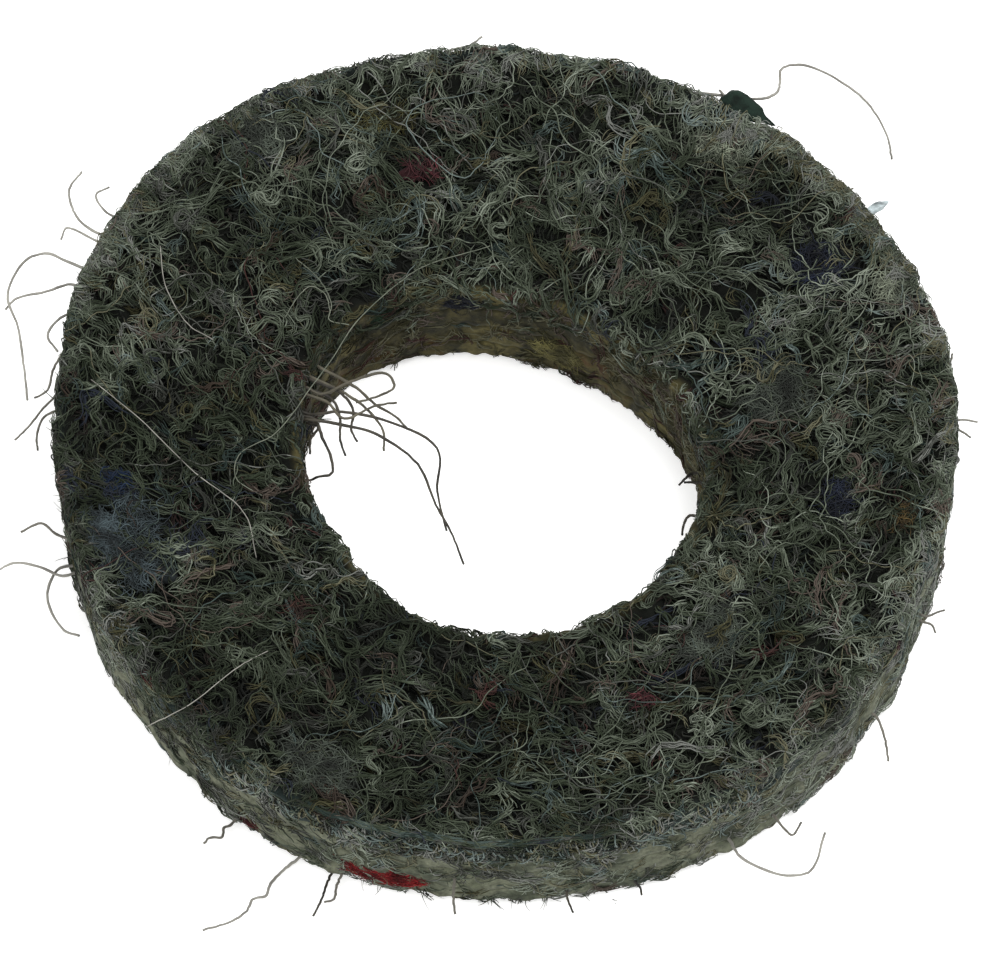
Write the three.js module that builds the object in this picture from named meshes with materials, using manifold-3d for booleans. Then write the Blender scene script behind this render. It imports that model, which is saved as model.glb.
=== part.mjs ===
// A felt polishing wheel: a thick ring of shoddy felt, die-cut from a stack of four laid-up webs.
// Millimetres, +Z up and out of the front face. The origin is on the wheel's axis at mid-thickness.
// Every piece is first laid out on a true-round wheel, and outOfRound() then gives it the wandering
// outline of the die-cut one, so pieces that fit each other stay together.

import * as THREE from "three";
import { mergeVertices } from "three/addons/utils/BufferGeometryUtils.js";
import Module from "manifold-3d";

const wasm = await Module();
wasm.setup();

// Overall sizes
const outerDiameter = 25.4;
const boreDiameter = 11;
const wheelThickness = 3.6;

// The stack of webs: the core webs share what the two outer webs leave
const facePlyThickness = 0.95;
const backPlyThickness = 0.85;
const coreNames = ["upper_core_ply", "lower_core_ply"];
const plyGap = 0.02;
const edgeRound = 0.15;
const coreSetback = 0.12;

// How the die-cut outline wanders from round: lobes round the ring, size, and where a lobe points
const rimWander = [
  { lobes: 2, size: 0.24, towards: -68 },
  { lobes: 3, size: 0.16, towards: 17 },
  { lobes: 4, size: 0.06, towards: 36 },
  { lobes: 5, size: 0.05, towards: 16 },
  { lobes: 6, size: 0.04, towards: 12 },
];
const boreWander = [
  { lobes: 2, size: 0.37, towards: -42 },
  { lobes: 3, size: 0.15, towards: 13 },
  { lobes: 1, size: 0.1, towards: 8 },
  { lobes: 6, size: 0.04, towards: 11 },
];
const boreOffset = { x: -0.22, y: -0.95 };

// Lumps of wool and the pockets that hold them
const pocketClearance = 0.06;
const faceClearance = 0.03;
const patchDepth = 0.4;
const pocketMouth = 0.5;

// Loose hairs
const hairDiameter = 0.07;
const hairRoot = 0.25;
const hairSides = 5;
const stepsPerPoint = 3;

// Fineness of the facets
const ringSegments = 64;
const roundSteps = 2;
const lumpSegments = 10;
const lumpRings = 6;

const outerRadius = outerDiameter / 2;
const boreRadius = boreDiameter / 2;
const topZ = wheelThickness / 2;
const bottomZ = -wheelThickness / 2;
const outerWebs = facePlyThickness + backPlyThickness + (coreNames.length + 1) * plyGap;
const corePlyThickness = (wheelThickness - outerWebs) / coreNames.length;
const radians = THREE.MathUtils.degToRad;

// Colours of the felt and of the rag wool in it
const colours = {
  darkFelt: "#3b4036",
  paleFelt: "#6f7262",
  red: "#8c1f22",
  darkRed: "#571c20",
  crimson: "#74263a",
  chip: "#1c2824",
  clear: "#b9c2c4",
  navy: "#262c44",
  blue: "#33404f",
  green: "#26452f",
  yellow: "#8b8a4a",
  olive: "#5f5a35",
  ochre: "#75603a",
  russet: "#5b3a33",
  pale: "#a7aa9a",
  matted: "#777c70",
  hair: "#5d5c4c",
};

function felt(colour) {
  return new THREE.MeshStandardMaterial({ color: colours[colour], roughness: 0.95, metalness: 0 });
}

function wander(waves, angle) {
  let sum = 0;
  for (const wave of waves) {
    sum += wave.size * Math.cos(wave.lobes * (angle - radians(wave.towards)));
  }
  return sum;
}

// Moves a geometry's points from the true-round wheel to the die-cut one
function outOfRound(geometry) {
  const points = geometry.attributes.position;
  for (let i = 0; i < points.count; i += 1) {
    const angle = Math.atan2(points.getY(i), points.getX(i));
    const radius = Math.hypot(points.getX(i), points.getY(i));
    const share = THREE.MathUtils.clamp((radius - boreRadius) / (outerRadius - boreRadius), 0, 1);
    const moved = radius + share * wander(rimWander, angle) + (1 - share) * wander(boreWander, angle);
    points.setX(i, moved * Math.cos(angle) + (1 - share) * boreOffset.x);
    points.setY(i, moved * Math.sin(angle) + (1 - share) * boreOffset.y);
  }
  return geometry;
}

// Keeps only the positions and joins the vertices that lie together
function closed(geometry) {
  const bare = geometry.clone();
  bare.deleteAttribute("normal");
  bare.deleteAttribute("uv");
  return mergeVertices(bare, 1e-4);
}

function solidOf(geometry) {
  const merged = closed(geometry);
  const mesh = new wasm.Mesh({
    numProp: 3,
    vertProperties: new Float32Array(merged.attributes.position.array),
    triVerts: new Uint32Array(merged.index.array),
  });
  return new wasm.Manifold(mesh);
}

function geometryOf(solid) {
  const mesh = solid.getMesh();
  const geometry = new THREE.BufferGeometry();
  geometry.setAttribute("position", new THREE.BufferAttribute(mesh.vertProperties, 3));
  geometry.setIndex(new THREE.BufferAttribute(mesh.triVerts, 1));
  return geometry;
}

// The corner between a flat face and a wall, as points on a quarter circle
function roundedCorner(centreRadius, centreZ, fromAngle) {
  const corner = [];
  for (let step = 0; step <= roundSteps; step += 1) {
    const angle = radians(fromAngle + (90 * step) / roundSteps);
    const x = centreRadius + edgeRound * Math.cos(angle);
    const z = centreZ + edgeRound * Math.sin(angle);
    corner.push(new THREE.Vector2(x, z));
  }
  return corner;
}

// One web: a ring from low to high, its free edges rounded where it is an outer web of the stack
function plyRing(low, high, setback, roundTop, roundBottom) {
  const inner = boreRadius + setback;
  const outer = outerRadius - setback;
  const section = [];
  if (roundBottom) {
    section.push(...roundedCorner(inner + edgeRound, low + edgeRound, 180));
    section.push(...roundedCorner(outer - edgeRound, low + edgeRound, 270));
  } else {
    section.push(new THREE.Vector2(inner, low), new THREE.Vector2(outer, low));
  }
  if (roundTop) {
    section.push(...roundedCorner(outer - edgeRound, high - edgeRound, 0));
    section.push(...roundedCorner(inner + edgeRound, high - edgeRound, 90));
  } else {
    section.push(new THREE.Vector2(outer, high), new THREE.Vector2(inner, high));
  }
  section.push(section[0].clone());
  return new THREE.LatheGeometry(section, ringSegments).rotateX(Math.PI / 2);
}

// A lump of wool: an egg shape with gentle dents, its axes running out, along and up from the wall
function lumpShape(out, along, up, grow) {
  const geometry = new THREE.SphereGeometry(1, lumpSegments, lumpRings);
  const points = geometry.attributes.position;
  for (let i = 0; i < points.count; i += 1) {
    const x = points.getX(i);
    const y = points.getY(i);
    const z = points.getZ(i);
    const dent = 1 - 0.08 * Math.cos(3 * x + 2 * y) * Math.cos(4 * z);
    points.setXYZ(i, x * (out * dent + grow), y * (along * dent + grow), z * (up * dent + grow));
  }
  return geometry;
}

// A flush patch of wool: a shallow bowl with a flat top, or the pocket for it with an open mouth
function bowlShape(halfLength, halfWidth, depth, rise) {
  const profile = [];
  for (let step = 0; step <= roundSteps + 1; step += 1) {
    const angle = radians((90 * step) / (roundSteps + 1));
    profile.push(new THREE.Vector2(Math.sin(angle), -depth * Math.cos(angle)));
  }
  if (rise > 0) {
    profile.push(new THREE.Vector2(1, rise));
  }
  profile.push(new THREE.Vector2(0, rise));
  const geometry = new THREE.LatheGeometry(profile, lumpSegments).rotateX(Math.PI / 2);
  return geometry.scale(halfLength, halfWidth, 1);
}

// Puts a shape that was made at the origin at a radius, angle and height on the true-round wheel
function placed(geometry, radius, angle, height, turn = 0) {
  geometry.rotateZ(radians(turn));
  geometry.translate(radius, 0, height);
  return geometry.rotateZ(radians(angle));
}

// Lumps seated in a wall: angle round the wheel, how far the centre is below the front face or above
// the back face, how far out of the wall it lies, and half sizes out, along and up
const wallLumps = [
  { name: "red_wool_tuft", wall: "rim", angle: 255.5, above: 0.85, proud: 0,
    size: [0.42, 1.25, 0.42], colour: "red" },
  { name: "dark_red_tuft", wall: "rim", angle: 237, above: 0.6, proud: 0,
    size: [0.3, 0.35, 0.3], colour: "darkRed" },
  { name: "dark_rim_chip", wall: "rim", angle: 57.1, below: 0.25, proud: 0.3,
    size: [0.52, 1, 0.3], colour: "chip" },
  { name: "clear_rim_chip", wall: "rim", angle: 35.5, below: 0.5, proud: 0.3,
    size: [0.52, 0.2, 0.3], colour: "clear" },
  { name: "right_rim_knot", wall: "rim", angle: 328, below: 0.45, proud: -0.1,
    size: [0.28, 0.28, 0.28], colour: "crimson" },
  { name: "left_rim_knot", wall: "rim", angle: 218.7, below: 0.25, proud: -0.1,
    size: [0.26, 0.3, 0.26], colour: "darkRed" },
  { name: "navy_bore_wool", wall: "bore", angle: 99, below: 0.7, proud: -0.1,
    size: [0.3, 0.55, 0.45], colour: "navy" },
  { name: "green_bore_wool", wall: "bore", angle: 122, below: 0.7, proud: -0.1,
    size: [0.3, 0.45, 0.45], colour: "green" },
  { name: "yellow_bore_wool", wall: "bore", angle: 70, above: 1.1, proud: -0.1,
    size: [0.35, 1, 0.65], colour: "yellow" },
];

// Patches felted into the front face: radius and angle of the centre, half sizes, and turn
const facePatches = [
  { name: "blue_wool_patch", radius: 10.95, angle: 198, size: [0.95, 1.9], turn: 10, colour: "blue" },
  { name: "upper_navy_patch", radius: 10.6, angle: 32, size: [0.8, 0.7], turn: 0, colour: "navy" },
  { name: "lower_navy_patch", radius: 9.5, angle: 349, size: [0.5, 0.6], turn: 0, colour: "navy" },
  { name: "olive_wool_patch", radius: 10.8, angle: 107, size: [0.5, 0.9], turn: 0, colour: "olive" },
  { name: "ochre_wool_patch", radius: 11.6, angle: 347, size: [0.35, 0.5], turn: 0, colour: "ochre" },
  { name: "upper_crimson_knot", radius: 9.2, angle: 104, size: [0.4, 0.6], turn: 0, colour: "crimson" },
  { name: "lower_crimson_knot", radius: 8.6, angle: 296, size: [0.3, 0.3], turn: 0, colour: "crimson" },
  { name: "russet_wool_patch", radius: 7.7, angle: 223, size: [0.4, 0.6], turn: 0, colour: "russet" },
  { name: "pale_burr", radius: 11.8, angle: 23, size: [0.35, 0.75], turn: 15, colour: "pale" },
  { name: "pale_fluff", radius: 11.55, angle: 57, size: [0.5, 0.9], turn: 0, colour: "pale" },
  { name: "matted_lump_1", radius: 11.3, angle: 245, size: [0.9, 1.3], turn: 0, colour: "matted" },
  { name: "matted_lump_2", radius: 7.9, angle: 13, size: [1.0, 1.0], turn: 0, colour: "matted" },
  { name: "matted_lump_3", radius: 8.1, angle: 315, size: [0.9, 1.1], turn: 0, colour: "matted" },
  { name: "matted_lump_4", radius: 11.5, angle: 125, size: [0.7, 1.2], turn: 0, colour: "matted" },
];

// Loose hairs rooted in the rim: the root's angle and its distance below the front face or above the
// back one, and the way the hair goes from the wall, as places out from the wall, along the rim and up
const rimHairs = [
  {
    angle: 66.2,
    below: 0.6,
    path: [[0.2, -0.5, 0.1], [0.4, -1.2, 0.1], [0.72, -2.3, 0.1], [1.1, -2.6, 0.1], [1.52, -2.52, 0],
      [1.92, -2.38, 0], [2.2, -2.62, 0], [2.38, -3.02, 0], [2.44, -3.9, -0.2], [2.1, -5, -0.4],
      [1.45, -5.9, -0.7], [0.9, -6.3, -0.9]],
  },
  { angle: 98, below: 0.6, path: [[0.3, -0.3, 0], [0.4, -0.9, -0.1], [0.6, -1.3, 0]] },
  { angle: 149.3, below: 0.6, path: [[0.8, 0, 0], [1.4, -0.3, -0.1], [1.9, -0.9, -0.2], [1.9, -1.6, -0.3]] },
  {
    angle: 154.2,
    below: 0.8,
    path: [[0.9, 0, 0], [1.4, 0, 0], [1.9, 0.4, -0.1], [2, 1.5, -0.4], [1.4, 2.2, -0.6], [0.9, 3.1, -0.8],
      [0.4, 4.1, -1]],
  },
  { angle: 156, below: 1.2, path: [[0.5, 0, 0], [1.1, 0.5, 0], [1.8, 1, -0.1], [2, 1.4, -0.2]] },
  { angle: 159.8, below: 1.1, path: [[0.4, 0.3, 0], [0.6, 0.9, -0.1], [0.2, 1.3, -0.1]] },
  { angle: 192.2, below: 1.6, path: [[0.3, -0.2, 0], [0.7, -0.6, 0.1], [1.3, -0.5, 0]] },
  { angle: 195, above: 1.5, path: [[0.5, 0, 0], [0.9, 0.7, -0.2], [0.7, 1.8, -0.3], [0.3, 2.1, -0.3]] },
  { angle: 196.3, above: 1.6, path: [[0.4, 0, 0], [1, -0.5, 0], [1.6, -0.8, 0], [2.2, -0.7, -0.1]] },
  { angle: 235.1, above: 0.3,
    path: [[0.22, 0, 0], [0.42, -0.1, 0], [0.68, 0.02, 0], [0.86, -0.22, 0], [1.1, -0.32, -0.1]] },
  { angle: 244.6, above: 0.3,
    path: [[0.46, -0.2, 0], [1.08, -0.36, 0], [1.47, -0.32, 0], [1.7, -0.58, 0], [2.1, -0.58, 0],
      [2.6, -0.82, 0], [3.2, -1.4, 0]] },
  { angle: 264.3, above: 1.4, path: [[0.5, 0, -0.1], [1, 0.1, -0.2]] },
  { angle: 298.5, above: 0.9,
    path: [[0.6, 0, 0], [1.2, 0.4, -0.1], [1.8, 0.9, 0], [2, 1.4, 0.2], [1.4, 2.2, 0.6]] },
  { angle: 323.1, above: 1.1, path: [[0.2, 0, 0], [0.7, -0.3, -0.2], [1.1, -0.7, -0.5]] },
];

// The height of a piece that keeps its distance to one of the faces
function heightOf(piece) {
  return "below" in piece ? topZ - piece.below : bottomZ + piece.above;
}

function wallLumpShape(lump, grow) {
  const [out, along, up] = lump.size;
  const wallRadius = lump.wall === "rim" ? outerRadius : boreRadius;
  const outward = lump.wall === "rim" ? lump.proud : -lump.proud;
  return placed(lumpShape(out, along, up, grow), wallRadius + outward, lump.angle, heightOf(lump));
}

function facePatchShape(patch) {
  const [halfLength, halfWidth] = patch.size;
  const bowl = bowlShape(halfLength, halfWidth, patchDepth, 0);
  return placed(bowl, patch.radius, patch.angle, topZ - faceClearance, patch.turn);
}

function facePocketShape(patch) {
  const [halfLength, halfWidth] = patch.size;
  const depth = patchDepth + faceClearance + pocketClearance;
  const bowl = bowlShape(halfLength + pocketClearance, halfWidth + pocketClearance, depth, pocketMouth);
  return placed(bowl, patch.radius, patch.angle, topZ, patch.turn);
}

function hairShape(hair) {
  const start = [-hairRoot, 0, 0];
  const points = [start, [0, 0, 0], ...hair.path].map((step) => new THREE.Vector3(...step));
  const path = new THREE.CatmullRomCurve3(points, false, "centripetal");
  const section = new THREE.Shape();
  for (let side = 0; side < hairSides; side += 1) {
    const angle = (2 * Math.PI * side) / hairSides;
    const x = (hairDiameter / 2) * Math.cos(angle);
    const y = (hairDiameter / 2) * Math.sin(angle);
    if (side === 0) {
      section.moveTo(x, y);
    } else {
      section.lineTo(x, y);
    }
  }
  section.closePath();
  const steps = stepsPerPoint * (points.length - 1);
  const tube = new THREE.ExtrudeGeometry(section, { extrudePath: path, steps, bevelEnabled: false });
  return placed(tube, outerRadius, hair.angle, heightOf(hair));
}

// A web with the pockets of the lumps and patches cut out of it
function cutPly(ring, pockets) {
  let solid = solidOf(ring);
  for (const pocket of pockets) {
    solid = solid.subtract(pocket);
  }
  return geometryOf(solid);
}

function named(geometry, name, colour) {
  const mesh = new THREE.Mesh(outOfRound(closed(geometry)), felt(colour));
  mesh.name = name;
  return mesh;
}

const wheel = new THREE.Group();
const wallPockets = wallLumps.map((lump) => solidOf(wallLumpShape(lump, pocketClearance)));
const facePockets = facePatches.map((patch) => solidOf(facePocketShape(patch)));

function addPlies() {
  const faceLow = topZ - facePlyThickness;
  const face = plyRing(faceLow, topZ, 0, true, false);
  wheel.add(named(cutPly(face, [...wallPockets, ...facePockets]), "face_ply", "darkFelt"));
  let high = faceLow - plyGap;
  for (const name of coreNames) {
    const core = plyRing(high - corePlyThickness, high, coreSetback, false, false);
    wheel.add(named(cutPly(core, wallPockets), name, "paleFelt"));
    high -= corePlyThickness + plyGap;
  }
  const back = plyRing(bottomZ, bottomZ + backPlyThickness, 0, false, true);
  wheel.add(named(cutPly(back, wallPockets), "back_ply", "paleFelt"));
}

function addLumps() {
  for (const lump of wallLumps) {
    wheel.add(named(wallLumpShape(lump, 0), lump.name, lump.colour));
  }
  for (const patch of facePatches) {
    wheel.add(named(facePatchShape(patch), patch.name, patch.colour));
  }
}

function addHairs() {
  rimHairs.forEach((hair, index) => {
    wheel.add(named(hairShape(hair), `rim_hair_${index + 1}`, "hair"));
  });
}

addPlies();
addLumps();
addHairs();

export default wheel;
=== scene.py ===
import math

import bmesh
import bpy
import numpy as np
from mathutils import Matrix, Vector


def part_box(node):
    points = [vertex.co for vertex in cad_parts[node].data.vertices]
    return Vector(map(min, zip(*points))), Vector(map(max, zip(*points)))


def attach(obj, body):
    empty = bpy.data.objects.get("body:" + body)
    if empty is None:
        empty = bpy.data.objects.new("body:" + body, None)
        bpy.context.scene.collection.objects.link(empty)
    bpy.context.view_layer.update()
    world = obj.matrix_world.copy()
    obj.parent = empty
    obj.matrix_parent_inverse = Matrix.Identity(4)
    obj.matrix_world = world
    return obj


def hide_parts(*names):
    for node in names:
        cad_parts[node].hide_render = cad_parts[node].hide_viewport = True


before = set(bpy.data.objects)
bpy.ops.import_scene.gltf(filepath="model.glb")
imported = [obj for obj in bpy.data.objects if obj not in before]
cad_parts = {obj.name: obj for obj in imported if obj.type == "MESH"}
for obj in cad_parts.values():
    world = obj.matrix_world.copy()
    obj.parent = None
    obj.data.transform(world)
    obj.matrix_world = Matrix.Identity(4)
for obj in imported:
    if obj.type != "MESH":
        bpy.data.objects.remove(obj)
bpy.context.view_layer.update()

MM = 0.001
SEED = 62


# ---------------------------------------------------------------- sizes, from the frame
TOP = (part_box("face_ply")[1] / MM).z
BOTTOM = (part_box("back_ply")[0] / MM).z
THICKNESS = TOP - BOTTOM
EDGE_ROUND = 0.15
WALL_BINS = 64
CENTRE_ROUNDS = 8


def node_points(name):
    """The vertices of a CAD node, in millimetres."""
    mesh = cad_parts[name].data
    flat = np.zeros(3 * len(mesh.vertices), np.float32)
    mesh.vertices.foreach_get("co", flat)
    return flat.reshape(-1, 3).astype(float) / MM


def wall_outline(points, centre, outer):
    """Angle and radius about a centre of a ring's outer or inner wall, sorted for interpolation."""
    flat = points[:, :2] - centre
    radius = np.hypot(flat[:, 0], flat[:, 1])
    angle = np.arctan2(flat[:, 1], flat[:, 0])
    cell = ((angle + math.pi) / (2 * math.pi) * WALL_BINS).astype(int) % WALL_BINS
    angles = (np.arange(WALL_BINS) + 0.5) / WALL_BINS * 2 * math.pi - math.pi
    pick = np.max if outer else np.min
    radii = np.array([pick(radius[cell == i]) for i in range(WALL_BINS)])
    return angles, radii


def measure_walls():
    """The wandering outlines of the rim and of the bore, and the bore's centre."""
    points = node_points("back_ply")
    radius = np.hypot(points[:, 0], points[:, 1])
    inner = points[radius < 0.5 * (radius.min() + radius.max())]
    bore_centre = 0.5 * (inner[:, :2].min(0) + inner[:, :2].max(0))
    for _ in range(CENTRE_ROUNDS):
        angles, radii = wall_outline(inner, bore_centre, False)
        wall = bore_centre + np.stack([radii * np.cos(angles), radii * np.sin(angles)], 1)
        bore_centre = wall.mean(0)
    rim = wall_outline(points, np.zeros(2), True)
    return rim, wall_outline(inner, bore_centre, False), bore_centre


RIM, BORE, BORE_CENTRE = measure_walls()
RIM_RADIUS = float(RIM[1].mean())
BORE_RADIUS = float(BORE[1].mean())


# ---------------------------------------------------------------- smooth random fields
FIELD_WAVES = 20
WAVELENGTH_SPREAD = (0.7, 1.5)
RAGGED_LOBES = (9, 13, 17, 24, 31, 43, 58, 77)
RAGGED_SIZE = (0.006, 0.018)


def waves(points, wavelength, seed):
    """A smooth random field over points, about -1 to 1, from waves running in random directions."""
    rng = np.random.default_rng(seed)
    count = FIELD_WAVES
    direction = rng.normal(size=(count, points.shape[-1]))
    direction /= np.linalg.norm(direction, axis=1, keepdims=True)
    number = 2 * math.pi / (wavelength * rng.uniform(*WAVELENGTH_SPREAD, count))
    phase = rng.uniform(0, 2 * math.pi, count)
    total = np.zeros(points.shape[:-1])
    for i in range(count):
        total += np.cos(points @ direction[i] * number[i] + phase[i])
    return total / math.sqrt(count)


def layered(points, layers):
    """A sum of random fields, each given as its size, wavelength and seed."""
    return sum(size * waves(points, wavelength, seed) for size, wavelength, seed in layers)


def ragged(angle, seed):
    """How far the die-cut wall strays at an angle, in millimetres, in short bites and teeth."""
    rng = np.random.default_rng(seed)
    total = np.zeros_like(angle)
    for lobes in RAGGED_LOBES:
        size = rng.uniform(*RAGGED_SIZE)
        total += size * np.cos(lobes * angle + rng.uniform(0, 2 * math.pi))
    return total


# ---------------------------------------------------------------- the wheel's surface as a map
LINE_STEPS = 60
CORNER_STEPS = 12
BITE_SEEDS = (5, 6)
SOLVE_ROUNDS = 12


def section_table(edge):
    """The ring's cross-section, from the bore's wall over the top: way, and radius, height and normal."""
    inner, outer = BORE_RADIUS, RIM_RADIUS
    rows = []

    def line(r0, z0, r1, z1, nr, nz):
        for t in np.linspace(0, 1, LINE_STEPS, endpoint=False):
            rows.append((r0 + t * (r1 - r0), z0 + t * (z1 - z0), nr, nz))

    def corner(r, z, start):
        for t in np.linspace(0, 1, CORNER_STEPS, endpoint=False):
            a = math.radians(start - 90 * t)
            rows.append((r + edge * math.cos(a), z + edge * math.sin(a), math.cos(a), math.sin(a)))

    line(inner, BOTTOM + edge, inner, TOP - edge, -1, 0)
    corner(inner + edge, TOP - edge, 180)
    line(inner + edge, TOP, outer - edge, TOP, 0, 1)
    corner(outer - edge, TOP - edge, 90)
    line(outer, TOP - edge, outer, BOTTOM + edge, 1, 0)
    corner(outer - edge, BOTTOM + edge, 0)
    line(outer - edge, BOTTOM, inner + edge, BOTTOM, 0, -1)
    corner(inner + edge, BOTTOM + edge, -90)
    table = np.array(rows + [rows[0]])
    way = np.concatenate([[0], np.cumsum(np.hypot(*np.diff(table[:, :2], axis=0).T))])
    return way, table


WAY, SECTION = section_table(EDGE_ROUND)
ROUND_TRIP = float(WAY[-1])
BORE_WALL = (0.0, THICKNESS - 2 * EDGE_ROUND)
CORNER = 0.5 * math.pi * EDGE_ROUND
FACE_WIDTH = RIM_RADIUS - BORE_RADIUS - 2 * EDGE_ROUND
TOP_FACE = (BORE_WALL[1] + CORNER, BORE_WALL[1] + CORNER + FACE_WIDTH)
RIM_WALL = (TOP_FACE[1] + CORNER, TOP_FACE[1] + CORNER + BORE_WALL[1])
BACK_FACE = (RIM_WALL[1] + CORNER, RIM_WALL[1] + CORNER + FACE_WIDTH)


def on_wheel(radius, angle, height):
    """Places on the true-round wheel moved to the die-cut one."""
    held = np.clip(radius, BORE_RADIUS, RIM_RADIUS)
    share = (held - BORE_RADIUS) / (RIM_RADIUS - BORE_RADIUS)
    rim = np.interp(angle, *RIM, period=2 * math.pi) + ragged(angle, BITE_SEEDS[0])
    bore = np.interp(angle, *BORE, period=2 * math.pi) + ragged(angle, BITE_SEEDS[1])
    beyond = radius - held
    along = share * rim + (1 - share) * bore + beyond
    x = along * np.cos(angle) + (1 - share) * BORE_CENTRE[0]
    y = along * np.sin(angle) + (1 - share) * BORE_CENTRE[1]
    return np.stack([x, y, height], -1)


def off_wheel(points):
    """The true-round radius and angle of places on the die-cut wheel."""
    share = np.full(len(points), 0.5)
    for _ in range(SOLVE_ROUNDS):
        x = points[:, 0] - (1 - share) * BORE_CENTRE[0]
        y = points[:, 1] - (1 - share) * BORE_CENTRE[1]
        angle = np.arctan2(y, x)
        rim = np.interp(angle, *RIM, period=2 * math.pi)
        bore = np.interp(angle, *BORE, period=2 * math.pi)
        share = np.clip((np.hypot(x, y) - bore) / (rim - bore), 0, 1)
    return BORE_RADIUS + share * (RIM_RADIUS - BORE_RADIUS), angle


def radius_at(way, column=0):
    """The radius at a way round the section, or another column of its table."""
    return np.interp(way, WAY, SECTION[:, column], period=ROUND_TRIP)


def surface(way, angle, lift):
    """A point at a way round the section and an angle, lifted off the felt along its normal."""
    r, z, nr, nz = (radius_at(way, column) for column in range(4))
    return on_wheel(r + lift * nr, angle, z + lift * nz)


def turned(angle, start):
    """How far an angle is turned from another, from minus to plus half a turn."""
    return (angle - start + math.pi) % (2 * math.pi) - math.pi


def arc(start, end):
    """A range of angles in radians, from degrees."""
    return math.radians(start), math.radians(end)


# ---------------------------------------------------------------- meshes and materials
def srgb(r, g, b):
    """A colour given in display values from 0 to 255, as linear values."""
    channels = [c / 255 for c in (r, g, b)]
    return [c / 12.92 if c <= 0.04045 else ((c + 0.055) / 1.055) ** 2.4 for c in channels]


def add_object(name, data):
    """A new object in the scene."""
    made = bpy.data.objects.new(name, data)
    bpy.context.scene.collection.objects.link(made)
    return made


def join_frame(piece, node=None):
    """Puts a piece on the wheel's body, and in the place of a CAD node where it has one."""
    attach(piece, "root")
    if node:
        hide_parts(node)


def link_mesh(name, vertices, loops, starts, sizes, material_index, materials):
    """A smooth mesh object from flat arrays, with vertices in millimetres."""
    mesh = bpy.data.meshes.new(name)
    mesh.vertices.add(len(vertices))
    mesh.vertices.foreach_set("co", (vertices * MM).astype(np.float32).ravel())
    mesh.loops.add(len(loops))
    mesh.loops.foreach_set("vertex_index", loops.astype(np.int32))
    mesh.polygons.add(len(starts))
    mesh.polygons.foreach_set("loop_start", starts.astype(np.int32))
    mesh.polygons.foreach_set("loop_total", sizes.astype(np.int32))
    mesh.update(calc_edges=True)
    for material in materials:
        mesh.materials.append(material)
    if material_index is not None:
        mesh.polygons.foreach_set("material_index", material_index.astype(np.int32))
    mesh.polygons.foreach_set("use_smooth", np.full(len(starts), True))
    mesh.validate()
    return add_object(name, mesh)


SHEEN_ROUGHNESS = 0.5
SHEEN_TINT = (0.9, 0.92, 0.88, 1)
NOISE_ROUGHNESS = 0.6
BUMP_STRENGTH = 0.6


def principled(name, roughness=0.9, sheen=0.03, specular=0.15):
    """A material and its shader, with the soft, barely glossy finish of wool."""
    material = bpy.data.materials.new(name)
    material.use_nodes = True
    shader = material.node_tree.nodes["Principled BSDF"]
    shader.inputs["Roughness"].default_value = roughness
    shader.inputs["Specular IOR Level"].default_value = specular
    shader.inputs["Sheen Weight"].default_value = sheen
    shader.inputs["Sheen Roughness"].default_value = SHEEN_ROUGHNESS
    shader.inputs["Sheen Tint"].default_value = SHEEN_TINT
    return material, shader


def strand_material(name, colour):
    """The material of single fibres of one shade."""
    material, shader = principled(name, 0.85)
    shader.inputs["Base Color"].default_value = (*srgb(*colour), 1)
    return material


def ramp(tree, factor, stops):
    """A colour ramp over a factor. Each stop is a place and a display colour."""
    node = tree.nodes.new("ShaderNodeValToRGB")
    elements = node.color_ramp.elements
    while len(elements) < len(stops):
        elements.new(0.5)
    for element, (place, colour) in zip(elements, stops):
        element.position = place
        element.color = (*srgb(*colour), 1)
    tree.links.new(factor, node.inputs["Fac"])
    return node.outputs["Color"]


def noise(tree, scale, detail=6.0):
    """A noise texture in the piece's own coordinates. Scale is in features per metre."""
    place = tree.nodes.new("ShaderNodeTexCoord")
    node = tree.nodes.new("ShaderNodeTexNoise")
    node.inputs["Scale"].default_value = scale
    node.inputs["Detail"].default_value = detail
    node.inputs["Roughness"].default_value = NOISE_ROUGHNESS
    tree.links.new(place.outputs["Object"], node.inputs["Vector"])
    return node.outputs["Fac"]


def mixed(tree, factor, first, second, mode="MIX"):
    """Two colours mixed by a factor, which is a number or a socket."""
    node = tree.nodes.new("ShaderNodeMix")
    node.data_type = "RGBA"
    node.blend_type = mode
    if isinstance(factor, float):
        node.inputs["Factor"].default_value = factor
    else:
        tree.links.new(factor, node.inputs["Factor"])
    tree.links.new(first, node.inputs["A"])
    tree.links.new(second, node.inputs["B"])
    return node.outputs["Result"]


def add_bump(tree, shader, height, distance):
    """Fine relief. Distance is in millimetres."""
    bump = tree.nodes.new("ShaderNodeBump")
    bump.inputs["Strength"].default_value = BUMP_STRENGTH
    bump.inputs["Distance"].default_value = distance * MM
    tree.links.new(height, bump.inputs["Height"])
    tree.links.new(bump.outputs["Normal"], shader.inputs["Normal"])


def attribute(tree, name):
    """The value of a mesh attribute."""
    node = tree.nodes.new("ShaderNodeAttribute")
    node.attribute_name = name
    return node.outputs["Fac"]


def mottled(name, finish, scale, detail, stops, relief=None):
    """A material with a colour ramp over a noise, and with relief as its scale, detail and depth."""
    material, shader = principled(name, *finish)
    tree = material.node_tree
    tree.links.new(ramp(tree, noise(tree, scale, detail), stops), shader.inputs["Base Color"])
    if relief:
        add_bump(tree, shader, noise(tree, *relief[:2]), relief[2])
    return material, shader


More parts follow.
